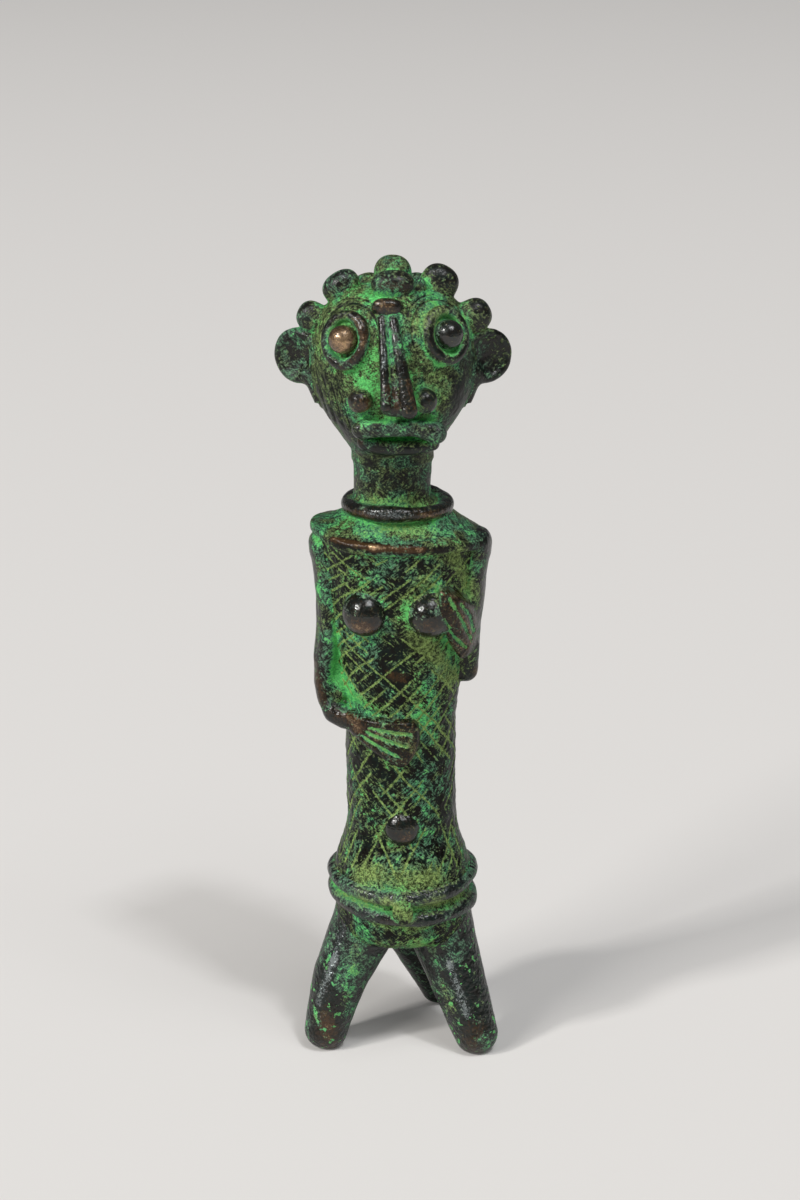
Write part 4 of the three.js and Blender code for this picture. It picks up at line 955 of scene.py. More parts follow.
def face_lines(p):
    """Incised arcs over the eyes and short scars on the cheek"""
    lines = np.zeros(len(p))
    for side in (-1, 1):
        middle, _, across, up = eye_frame(side)
        a, b = (p - middle) @ across, (p - middle) @ up
        angle = np.degrees(np.arctan2(b, a * -side))
        around = ellipse_distance(a, b, *np.add(EYE_RING_HALF, ARC_GROWTH))
        lines = np.maximum(lines, stroke(around, LINE) * window(angle, -20, 0, 120, 150))
        lines = np.maximum(lines, stroke(around - ARC_SPACING, 0.15) * window(angle, 20, 40, 90, 120) * 0.8)
    for offset in SCARS:
        x = p[:, 0] - HEAD_OFFSET - offset - (p[:, 2] - SCAR_HEIGHT) * SCAR_SLANT
        top = 111 - 0.35 * offset
        tall = window(p[:, 2], 104.5, 106, top - 2, top)
        lines = np.maximum(lines, stroke(x, LINE) * tall * 0.6)
    return lines * (p[:, 1] < 0)


def mouth(p):
    """The open groove between the lips"""
    z = (UPPER_LIP_Z - UPPER_LIP_RADIUS + LOWER_LIP_Z + LOWER_LIP_RADIUS) / 2
    across = smooth(-np.abs(p[:, 0] - HEAD_OFFSET - LIP_OFFSET), -5.4, -3.6)
    return stroke(p[:, 2] - z, 0.75) * across * (p[:, 1] < 0)


# The melted field


def split_by_tile(points, size=6.0):
    """Yields the indices of the points in each cube of space that holds any"""
    cell = np.floor(points / size).astype(np.int64) + 512
    key = (cell[:, 0] * 2048 + cell[:, 1]) * 2048 + cell[:, 2]
    order = np.argsort(key, kind="stable")
    ordered = key[order]
    starts = np.flatnonzero(np.concatenate([[True], ordered[1:] != ordered[:-1]]))
    ends = np.concatenate([starts[1:], [len(order)]])
    for a, b in zip(starts, ends):
        yield order[a:b]


# How deep the carving goes, and how near the surface it is worked out
HATCH_DEPTH = 0.17
CHIP_DEPTH = 0.07
FINGER_GAP_DEPTH = 0.6
FACE_LINE_DEPTH = 0.3
MOUTH_DEPTH = 0.9
RELIEF_REACH = 1.2
# The distance given where no form is near, and a least weight that keeps logarithms finite
FAR = 9.0
LEAST = 1e-30


def relief_at(p, share_of, polish_lack):
    """How far carving, pits and hammering move the surface inward. share_of gives each form's say there."""
    bumps = 0.16 * noise(p, 4.2, 0) + 0.07 * noise(p, 1.9, 1)
    pits = 0.045 * noise(p, 0.8, 2) + 0.03 * noise(p, 0.45, 3)
    change = bumps * (0.45 + 0.55 * polish_lack) + pits * polish_lack
    if "trunk" in share_of:
        change += (HATCH_DEPTH * hatch(p) - CHIP_DEPTH * chips(p)) * share_of["trunk"]
    for hand in ("right_hand", "left_hand"):
        if hand in share_of:
            change += FINGER_GAP_DEPTH * hand_grooves(p) * share_of[hand]
    if "head" in share_of:
        change += (FACE_LINE_DEPTH * face_lines(p) + MOUTH_DEPTH * mouth(p)) * share_of["head"]
    return change


def field(points, name=None, relief=True):
    """The melted surface's distance at points. With a name, also how far that piece is from ruling there."""
    total, lead = np.full((2, len(points)), FAR)
    for index in split_by_tile(points):
        p = points[index]
        low, high = p.min(0), p.max(0)
        weights = {}
        rough = np.zeros(len(p))
        for form_name, f in forms.items():
            if np.any(f["high"] < low) or np.any(f["low"] > high):
                continue
            d = f["form"](p) * (f["crisp"] if relief else 1.0)
            weights[form_name] = np.exp(np.clip(-d / FILLET, -50, 50))
            rough += weights[form_name] * (1 - f["polish"])
            if form_name == name:
                own = d
        weight = np.maximum(sum(weights.values(), np.zeros(len(p))), LEAST)
        total[index] = -FILLET * np.log(weight)
        near = np.abs(total[index]) < RELIEF_REACH
        if relief and np.any(near):
            shares = {form_name: (w / weight)[near] for form_name, w in weights.items()}
            total[index[near]] += relief_at(p[near], shares, (rough / weight)[near])
        if name in weights:
            others = sum((w for other, w in weights.items() if other != name), np.zeros(len(p)))
            lead[index] = own + FILLET * np.log(np.maximum(others, LEAST))
    return (total, lead) if name else total


def piece_field(points, name):
    total, lead = field(points, name)
    return np.maximum(total + SINK * np.maximum(lead, 0), lead - OVERLAP)


# Surface nets

CORNERS = np.array([[i, j, k] for i in (0, 1) for j in (0, 1) for k in (0, 1)])
EDGES = [
    (a, b)
    for a in range(8)
    for b in range(a + 1, 8)
    if np.sum(np.abs(CORNERS[a] - CORNERS[b])) == 1
]


def at_corners(grid, cells):
    """Eight views of a lattice, one for each corner of its cells"""
    return np.stack([grid[i : i + cells[0], j : j + cells[1], k : k + cells[2]] for i, j, k in CORNERS])


def coarse_to_fine(name, low, high, step):
    """Values of a piece's field on a fine lattice, worked out only near its surface"""
    ratio = 4
    big = step * ratio
    count = np.ceil((high - low) / big).astype(int) + 1
    axes = [low[c] + big * np.arange(count[c] + 1) for c in range(3)]
    grid = np.stack(np.meshgrid(*axes, indexing="ij"), axis=-1)
    coarse = piece_field(grid.reshape(-1, 3), name).reshape(grid.shape[:3])
    active = np.abs(at_corners(coarse, count)).min(0) < big * 1.05
    span = count * ratio
    wanted = np.zeros(span + 1, bool)
    for i, j, k in np.ndindex(ratio + 1, ratio + 1, ratio + 1):
        wanted[i : i + span[0] : ratio, j : j + span[1] : ratio, k : k + span[2] : ratio] |= active
    index = [np.minimum(np.arange(span[c] + 1) // ratio, count[c]) for c in range(3)]
    values = coarse[np.ix_(*index)]
    values[wanted] = piece_field(low + np.argwhere(wanted) * step, name)
    return values


def surface_nets(values, low, step):
    """Vertices and outward quads of the zero surface of a lattice of values"""
    inside = values < 0
    n = np.array(values.shape)
    corners = at_corners(inside, n - 1)
    active = np.argwhere(corners.any(0) & ~corners.all(0))
    ids = np.full(n - 1, -1, np.int64)
    ids[tuple(active.T)] = np.arange(len(active))
    corner_values = np.stack([values[tuple((active + c).T)] for c in CORNERS], axis=1)
    sums = np.zeros((len(active), 3))
    counts = np.zeros(len(active))
    for a, b in EDGES:
        va, vb = corner_values[:, a], corner_values[:, b]
        cross = (va < 0) != (vb < 0)
        t = np.where(cross, va / np.where(cross, va - vb, 1), 0)
        point = CORNERS[a] + t[:, None] * (CORNERS[b] - CORNERS[a])
        sums += point * cross[:, None]
        counts += cross
    vertices = low + (active + sums / counts[:, None]) * step
    quads = []
    for axis in range(3):
        u, v = (axis + 1) % 3, (axis + 2) % 3
        first = inside.take(range(n[axis] - 1), axis)
        second = inside.take(range(1, n[axis]), axis)
        edge = np.argwhere(first != second)
        edge = edge[(edge[:, u] > 0) & (edge[:, v] > 0) & (edge[:, u] < n[u] - 1) & (edge[:, v] < n[v] - 1)]
        du, dv = np.eye(3, dtype=int)[[u, v]]
        ring = [edge - du - dv, edge - dv, edge, edge - du]
        quad = np.stack([ids[tuple(c.T)] for c in ring], axis=1)
        flip = ~first[tuple(edge.T)]
        quad[flip] = quad[flip][:, ::-1]
        quads.append(quad)
    return vertices, np.concatenate(quads)


def outward_normals(vertices, quads):
    a, b, c, d = (vertices[quads[:, i]] for i in range(4))
    face = np.cross(c - a, d - b)
    normals = np.zeros_like(vertices)
    for i in range(4):
        for axis in range(3):
            normals[:, axis] += np.bincount(quads[:, i], face[:, axis], len(vertices))
    return normals / np.maximum(np.linalg.norm(normals, axis=1, keepdims=True), 1e-12)


def neighbour_mean(quads, values):
    """Each vertex's mean of the values at the vertices next to it"""
    count = len(values)
    total = np.zeros(count)
    degree = np.zeros(count)
    for i in range(4):
        a, b = quads[:, i], quads[:, (i + 1) % 4]
        total += np.bincount(a, values[b], count) + np.bincount(b, values[a], count)
        degree += np.bincount(a, minlength=count) + np.bincount(b, minlength=count)
    return total / np.maximum(degree, 1)


# Where the patina lies, and where shade and highlights are painted, as soft patches: where each starts and
# ends, its radius and how strong it is.
# Places are in millimetres in the figure's own frame.

PATCHES = {
    # Bright green in crevices and hollows
    "bright": (
        (-4.5, -8.4, 125.8, 2.5, -8.4, 126, 1, 0.9), (-4.6, -10.6, 123.2, 2, -10.8, 122, 1.2, 0.6),
        (-6.5, -11, 114.5, -5, -11.5, 113, 2.2, 0.7), (-4.4, -11.5, 118.5, -3.6, -12, 115.5, 1.4, 0.6),
        (2.4, -11.5, 120.5, 3.2, -11.5, 118, 1.6, 0.4), (-5, -11.5, 108.3, -2.5, -12, 107.9, 0.9, 0.9),
        (0, -11.5, 120, 0.6, -13.5, 111.5, 0.5, 0.9), (4.5, -8, 117, 6.5, -8.5, 116.4, 1, 0.6),
        (4.5, -3.5, 126.2, 5.5, -4.5, 125.2, 1.2, 0.8), (-5.5, -4.5, 125, -3.5, -6.5, 125.2, 1.3, 0.6),
        (-12.5, -2.4, 85.8, -12, -2.4, 78, 0.9, 1.2), (-12, -2.4, 78, -10.9, -2.6, 70.5, 1, 1),
        (-10.9, -2.6, 70.5, -9.8, -3.4, 64, 1.1, 1.2), (-9.8, -3.4, 64, -7.7, -5.6, 61.1, 1.3, 1),
        (-7.7, -5.6, 61.1, -3.2, -8.8, 60.6, 1, 0.8), (1.1, -10.3, 77.2, 1.6, -10.3, 75.6, 1.5, 1),
        (-7, -9, 82.6, -5.8, -10, 79.8, 0.9, 0.8), (2.5, -8.8, 66, 6, -7, 58, 2.2, 0.45),
        (3.5, -8.5, 60.5, 4, -8.6, 57, 1.2, 0.5), (-6.5, -6.5, 45, -4.5, -8, 40, 1.6, 0.4),
        (-6.6, -8.5, 23, -5.2, -8.8, 22.4, 0.9, 0.7), (-11, -7.5, 17.6, -10.4, -7.5, 15.6, 1, 0.9),
        (-14.6, -6, 10.6, -13.6, -7.6, 5.6, 0.8, 1.1), (-8, -12.6, 106, -4.4, -12.4, 108.4, 0.9, 0.6),
        (-8.6, -9.2, 114.6, -6, -10.4, 113.2, 1, 0.4), (2.6, -11.4, 117, 3.4, -12.4, 113.4, 1.1, 0.6),
        (6, -9.4, 116.2, 8, -8.6, 116.8, 0.9, 0.9), (-3.4, -8.6, 126.6, -0.4, -8.4, 127, 1, 0.8),
        (-1.9, -10.3, 60.9, 3.4, -10.2, 60, 0.9, 0.8), (9.8, -8.8, 18.4, 11.2, -8.6, 16.4, 0.9, 1),
        (1.6, -9.4, 21.8, 5, -9.4, 18.6, 1.2, 0.7), (5, -9.4, 18.6, 7, -9.6, 14.5, 1, 0.4),
        (-8, -7.6, 15, -9.4, -7.4, 6, 1.2, 0.5), (7.4, -9.4, 13, 9.4, -9.4, 6, 0.9, 0.45),
        (-5.2, -11.6, 102.8, 5.6, -11.6, 102.8, 0.7, 0.7), (-11.5, -3, 88, -8, -6, 88.6, 2.2, 0.2),
        (13.4, -9.6, 3.6, 14.2, -8.6, 2.6, 1, 0.7),
    ),
    # Dusty olive where dirt has settled
    "olive": (
        (-6.5, -8, 89.8, 5.5, -8.2, 89.6, 1.5, 0.8), (-6, -5, 93.1, 5, -5.4, 93.1, 1.2, 0.8),
        (9, -8, 85, 11, -4, 78, 1.8, 0.9), (2.8, -9.8, 72, 8.7, -5, 64, 2, 1),
        (3.2, -9.8, 81.2, 5.4, -9.8, 80.6, 1.3, 0.8), (0.8, -10.2, 73.5, 1.4, -10.2, 79.5, 1.8, 0.35),
        (-6.5, -9, 32.2, 5.5, -9.8, 32, 2.2, 1.15), (-6, -10.6, 28.2, 6, -10.6, 28, 1.2, 1),
        (-2.2, -12.6, 29, 1.6, -12.8, 26.6, 1.1, 1.3), (-4.5, -10.6, 24.4, 4.5, -10.8, 24, 1, 0.9),
        (-6.6, -8.4, 20, -9, -5, 9, 1.3, 0.5), (4.6, -9, 18, 8.2, -8.6, 8, 1.2, 0.6),
        (-10, -7.6, 119, -12, -4, 121.5, 1.2, 0.5), (-10.5, -5, 27.8, -6, -10, 27.8, 0.9, 0.8),
        (6, -10, 27.6, 11, -5, 27.4, 1, 0.9), (3.5, -9, 122.2, 6, -7.5, 123.5, 2.4, 0.8),
        (5.4, -9.5, 114, 6.5, -9, 110, 1.7, 0.6), (-6, -10, 126, -9.6, -7, 121.6, 1.4, 0.5),
        (-12, -4.5, 119, -11.5, -4.5, 116.5, 1.3, 0.8), (9.5, -4.5, 122.6, 10.8, -3, 120, 1.6, 0.7),
        (2.5, -9.4, 21, 5.5, -9.6, 16, 1.5, 0.8), (-1.4, -8.4, 20.8, 1.6, -8.6, 20.8, 1.3, 0.5),
        (4.4, -9.8, 83, 9.2, -8, 85, 1.6, 0.5), (-8.3, -5.8, 61.6, -6, -7.6, 61.2, 1, 0.7),
        (-3, -12, 57.5, 1.5, -11, 54.5, 2.5, 0.35),
    ),
    # Painted shade: ground kept bare of patina and near black under the cap rim, chin, breasts and trunk,
    # between arms and trunk, and on the sides turned from the lamps
    "painted_shade": (
        (-4, -6, 18.6, 3, -6, 18.6, 1.4, 1.3), (12, -2, 115, 13.6, -1.4, 111, 2.4, 0.6),
        (3.4, -8.6, 84, 9, -6.6, 84.6, 1.4, 0.4), (2, -9.8, 70, -4, -9.8, 66, 2.6, 0.25),
        (-3, -9.4, 21.6, 3.4, -9.4, 21.4, 1.2, 0.6), (-11.6, -6, 16, -13, -5.6, 8, 1.6, 0.3),
        (13, -3.4, 18, 15.6, -5.6, 7, 2, 0.5), (-3.6, -9.5, 22.6, 1, -9.5, 22.2, 0.9, 0.7),
        (-10, -5.5, 107, -6, -7.5, 101, 2.4, 0.7), (9, -5.5, 109, 5, -7.5, 101, 2.6, 0.8),
        (9.8, -5, 115, 8.5, -7, 109, 1.8, 0.6), (-5, -5, 98.5, 5, -5, 98.5, 3.2, 0.4),
        (8.6, -2, 62, 8.8, -2, 42, 2.2, 0.6), (-8.2, -2.5, 56, -8.2, -2.5, 42, 1.8, 0.4),
        (-9, -7.6, 84.4, 5, -10.4, 84, 0.9, 0.5), (10, -10, 85.5, 13.5, -2, 86.5, 1.8, 0.7),
        (-14.5, 0, 82, -14.8, 0, 62, 1.6, 0.6), (14.5, 0, 86, 14, 0, 63, 2.4, 0.7),
        (-2, -9.6, 63, 4, -8.8, 50, 2.4, 0.25),
    ),
    # Brown, where the patina is thin
    "brown": (
        (-10.4, -7.7, 87.9, -4, -10.9, 87.4, 0.75, 1.5), (-4, -10.9, 87.4, 3.2, -11.1, 87, 0.75, 1.6),
        (3.2, -11.1, 87, 8, -9.4, 86.6, 0.6, 0.6), (-1.8, -9.6, 66.2, 0.8, -9.6, 65.4, 1.2, 0.9),
        (-12.1, -8.2, 4.6, -11.6, -7.6, 1.5, 2.8, 0.6), (12.4, -9.8, 4.6, 12, -9, 1.5, 2.8, 0.6),
        (-14.6, -2.6, 66, -13, -5.2, 60, 1.7, 1), (-9.6, -7.2, 58.6, -7, -9, 57, 1.2, 1),
        (-6.5, -12.2, 74.2, -4, -12.4, 73.8, 1.4, 1), (4.4, -12.6, 75, 6.4, -12.2, 73.8, 1, 0.5),
        (-1.4, -14, 113, -0.6, -14.4, 110.6, 0.9, 0.5), (1.4, -13.6, 113.8, 2, -14.4, 110.6, 0.9, 0.3),
        (-8.6, -10.2, 119.4, -8.6, -10.2, 119.4, 2.4, 1.6), (-6.6, -8, 123, -4.8, -10.6, 119, 1, 0.4),
        (-3, -9.4, 124.6, -0.6, -9.6, 124.6, 1, 0.9), (-2.6, -7.2, 126.4, 1.4, -7.2, 126.4, 1.1, 0.7),
        (-6.2, -10.2, 110.8, -5.4, -11.6, 110, 1.4, 1.3), (-5.4, -7.6, 91.4, 5, -7.6, 91.4, 0.9, 0.45),
        (-4, -12.6, 25.6, 0, -12.8, 25, 1, 0.7), (-11.8, -4.5, 26, -8, -9.5, 25.6, 0.9, 0.5),
        (-7.2, -9.2, 104.6, -6, -10.2, 104.2, 0.8, 1), (-4.6, -11.4, 100.6, 4.6, -11.4, 100.8, 0.8, 0.8),
        (12.6, -3, 64.6, 13.2, -1, 63.4, 1.4, 0.9), (3.8, -10, 54, 1.6, -11, 50.6, 0.8, 1),
        (14.6, -2, 82, 14.4, -2.4, 72, 1, 0.5), (-11.6, -6, 12, -11.8, -8, 5, 1.6, 0.4),
        (0.6, -10.6, 38.6, 1.4, -10.6, 38.8, 1, 0.6), (-8.5, -11.6, 74.4, -3.6, -12.8, 73.4, 1.4, 0.4),
        (2, -12.6, 74, 5, -12.6, 73.2, 1.2, 0.35), (-8.6, -4.4, 91, -6, -7.4, 91.2, 0.8, 0.6),
        (4.4, -7.4, 91, 7.2, -4.6, 91, 0.8, 0.6), (7, -8.6, 78, 11.4, -7, 72, 2.4, 0.35),
        (-3.6, -8, 127.6, 1, -8, 127.6, 1.2, 0.6),
    ),
    # Metal worn bare along ridges and tops, in a steel grey that stands in for highlights: part wear, part
    # painted highlight
    "wear_and_painted_highlight": (
        (-9.4, -5.8, 21.6, -10.8, -6.6, 16, 0.8, 0.8), (-10.8, -6.6, 16, -13.2, -6.8, 8.6, 0.9, 0.95),
        (6.2, -8.4, 20.4, 8, -8.3, 16, 0.7, 0.9), (8, -8.3, 16, 10.8, -9.3, 7.6, 0.85, 1.05),
        (-5.4, -7.6, 92, -1, -8.8, 91.9, 0.6, 0.8), (-0.4, -8.9, 91.9, 4.4, -8.2, 91.8, 0.5, 0.7),
        (-8.9, -1.8, 128.2, -7.2, -2.8, 128, 0.9, 0.9), (4.8, -2.2, 128.9, 6.6, -2.4, 128.4, 0.9, 0.8),
        (-2.2, -12.2, 119, -2.4, -12.8, 116, 0.5, 1), (-0.2, -12.6, 118.6, 0.4, -13.4, 115.6, 0.4, 0.6),
        (-3.6, -13, 107.1, 0.4, -13.4, 107.2, 0.45, 0.9), (2.6, -13.2, 107.1, 4.8, -12.4, 107, 0.4, 0.7),
        (-18.2, -0.6, 117.6, -18, -0.6, 113, 0.6, 0.5), (-9, -9.4, 26.6, -5.6, -11.4, 26.6, 0.5, 0.8),
        (1.6, -12.6, 26.6, 5.2, -12, 26.8, 0.45, 0.7), (-7, -9.8, 30, -4.6, -11.2, 29.8, 0.5, 0.7),
        (4.6, -11.6, 29.4, 7.2, -10.4, 29.8, 0.5, 0.8), (-7.4, -8, 59.6, -5.4, -9.2, 59.3, 0.5, 0.8),
        (-2.8, -11.6, 58.6, 1.6, -11.8, 58, 0.4, 0.6), (4.6, -11.2, 118.8, 5.2, -11, 120.4, 0.5, 0.8),
    ),
}

# Raised pieces that handling keeps clean, whatever lies round them
STAYS_BARE = ("eyeball", "pellet", "breast", "navel", "crest_front", "temple", "side_knob", "neck_coil")


def patch_weight(points, kind):
    total = np.zeros(len(points))
    for patch in PATCHES[kind]:
        start, end = np.array(patch[:3]), np.array(patch[3:6])
        radius, amount = patch[6:]
        total += amount * np.exp(-((segment_distance(points, start, end) / radius) ** 2))
    return total


# Pieces

# The size of the cells of each piece's lattice
STEPS = {"trunk": 0.23, "shoulder_cap": 0.25, "right_leg": 0.28, "left_leg": 0.28, "rear_support": 0.28}
STEP = 0.24
# How far out the surface looks for others that shade it, for narrow crevices and for wide hollows
CREVICE_REACH = 0.9
HOLLOW_REACH = 3.2
# How much green and dust the pieces that handling keeps clean still take
BARE_SHARE = 0.25


def marks_on(name, vertices, quads, step):
    """What the patina reads at each vertex, as three colours with alpha"""
    normals = outward_normals(vertices, quads)
    close, deep = (
        np.clip(1 - field(vertices + normals * reach, relief=False) / reach, 0, 1)
        for reach in (CREVICE_REACH, HOLLOW_REACH)
    )
    mean = np.stack([neighbour_mean(quads, vertices[:, c]) for c in range(3)], axis=1)
    bend = np.sum((mean - vertices) * normals, axis=1) / step
    for _ in range(2):
        bend = 0.5 * bend + 0.5 * neighbour_mean(quads, bend)
    plain = np.zeros(len(vertices))
    carving = {"trunk": hatch, "right_hand": hand_grooves, "left_hand": hand_grooves, "head": face_lines}
    lines = carving[name](vertices) if name in carving else plain
    grain = chips(vertices) if name == "trunk" else plain
    # In the order of the patches: bright green, olive dust, painted shade, thin brown patina, and worn metal
    # with painted highlight
    bright, olive, painted_shade, brown, wear_and_painted_highlight = (patch_weight(vertices, kind) for kind in PATCHES)
    if any(word in name for word in STAYS_BARE):
        bright, olive = bright * BARE_SHARE, olive * BARE_SHARE
    return {
        "relief": (close, deep, np.clip(bend * 0.5 + 0.5, 0, 1), lines),
        "zones": (bright, olive, painted_shade, brown),
        "marks": (grain * 0.5 + 0.5, wear_and_painted_highlight, plain, plain + 1),
    }


def put_in_scene(name, data):
    thing = bpy.data.objects.new(name, data)
    bpy.context.scene.collection.objects.link(thing)
    return thing


def make_piece(name):
    f = forms[name]
    step = STEPS.get(name, STEP) * 1
    values = coarse_to_fine(name, f["low"], f["high"], step)
    vertices, quads = surface_nets(values, f["low"], step)
    mesh = bpy.data.meshes.new(name)
    mesh.vertices.add(len(vertices))
    mesh.vertices.foreach_set("co", ((vertices + SHIFT) / MM).astype(np.float32).ravel())
    mesh.loops.add(quads.size)
    mesh.loops.foreach_set("vertex_index", quads.astype(np.int32).ravel())
    mesh.polygons.add(len(quads))
    mesh.polygons.foreach_set("loop_start", np.arange(0, quads.size, 4, dtype=np.int32))
    mesh.polygons.foreach_set("use_smooth", np.ones(len(quads), bool))
    for attribute_name, channels in marks_on(name, vertices, quads, step).items():
        attribute = mesh.attributes.new(attribute_name, "FLOAT_COLOR", "POINT")
        attribute.data.foreach_set("color", np.stack(channels, axis=1).astype(np.float32).ravel())
    mesh.update(calc_edges=True)
    mesh.validate()
    piece = put_in_scene(name + "_cast", mesh)
    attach(piece, "root")
    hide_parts(name)
    return piece


# Materials


class Nodes:
    """A short hand for building one material's node tree"""

    def __init__(self, name):
        self.material = bpy.data.materials.new(name)
        self.material.use_nodes = True
        self.tree = self.material.node_tree
        self.tree.nodes.clear()

    def add(self, kind, inputs=None, **settings):
        """A node whose inputs, by name or number, are linked to a socket or set to a value"""
        node = self.tree.nodes.new("ShaderNode" + kind)
        for key, value in settings.items():
            setattr(node, key, value)
        for key, value in (inputs or {}).items():
            if isinstance(value, bpy.types.NodeSocket):
                self.tree.links.new(value, node.inputs[key])
            else:
                node.inputs[key].default_value = value
        return node

    def maths(self, operation, a, b, clamp=False):
        return self.add("Math", {0: a, 1: b}, operation=operation, use_clamp=clamp).outputs[0]

    def times(self, a, b):
        return self.maths("MULTIPLY", a, b)

    def larger(self, a, b):
        return self.maths("MAXIMUM", a, b)

    def plus(self, *terms):
        """The sum of sockets, numbers and pairs that are multiplied first"""
        terms = [self.times(*term) if isinstance(term, tuple) else term for term in terms]
        total = terms[0]
        for term in terms[1:]:
            total = self.maths("ADD", total, term)
        return total

    def ramp(self, value, low, high, to_low=0.0, to_high=1.0):
        """A soft step of a value, or of a list of terms to add up"""
        value = self.plus(*value) if isinstance(value, list) else value
        inputs = {"Value": value, "From Min": low, "From Max": high, "To Min": to_low, "To Max": to_high}
        return self.add("MapRange", inputs, interpolation_type="SMOOTHSTEP").outputs[0]

    def blend(self, share, a, b):
        return self.add("Mix", {"Factor": share, 6: a, 7: b}, data_type="RGBA").outputs[2]

    def noise(self, vector, per_mm, detail, roughness=0.6, distortion=0.0):
        inputs = {"Vector": vector, "Scale": per_mm * MM, "Detail": detail, "Roughness": roughness}
        return self.add("TexNoise", {**inputs, "Distortion": distortion}).outputs["Fac"]

    def wave(self, *settings):
        """Noise about 0"""
        return self.maths("SUBTRACT", self.noise(*settings), 0.5)

    def chips(self, place, slope):
        """Noise drawn out along one slope of the front, as short scratched chips of CHIP_SIZE"""
        inputs = {"Vector": place, "Rotation": (0, slope, 0), "Scale": CHIP_SIZE}
        return self.wave(self.add("Mapping", inputs, vector_type="TEXTURE").outputs["Vector"], 0.001, 3)

    def attribute(self, name):
        """The four channels of a colour that the mesh carries"""
        node = self.add("Attribute", attribute_name=name)
        parts = self.add("SeparateColor", {0: node.outputs["Color"]})
        return *parts.outputs, node.outputs["Alpha"]


# A chip's length, depth and width in metres
CHIP_SIZE = (0.00095, 0.0005, 0.00024)
# How high the fine bumps stand, in metres
BUMP_HEIGHT = 0.0002

BLACK = (0.0040, 0.0033, 0.0018, 1)
INK = (0.0030, 0.0105, 0.0085, 1)
UMBER = (0.046, 0.023, 0.009, 1)
BRONZE = (0.50, 0.33, 0.19, 1)
# A steel grey for worn metal that stands in for highlights: painted sheen
PAINTED_SHEEN_STEEL = (0.30, 0.34, 0.34, 1)
LOW_WARM = (0.011, 0.0155, 0.0055, 1)
LOW_COOL = (0.005, 0.017, 0.0115, 1)
HIGH_WARM = (0.190, 0.262, 0.100, 1)
HIGH_COOL = (0.122, 0.245, 0.146, 1)
GREEN = (0.120, 0.330, 0.098, 1)
SEA = (0.080, 0.278, 0.145, 1)
EMERALD = (0.060, 0.330, 0.085, 1)
MALACHITE = (0.150, 0.67, 0.175, 1)
DUST_LOW = (0.052, 0.075, 0.018, 1)
DUST_HIGH = (0.310, 0.450, 0.140, 1)


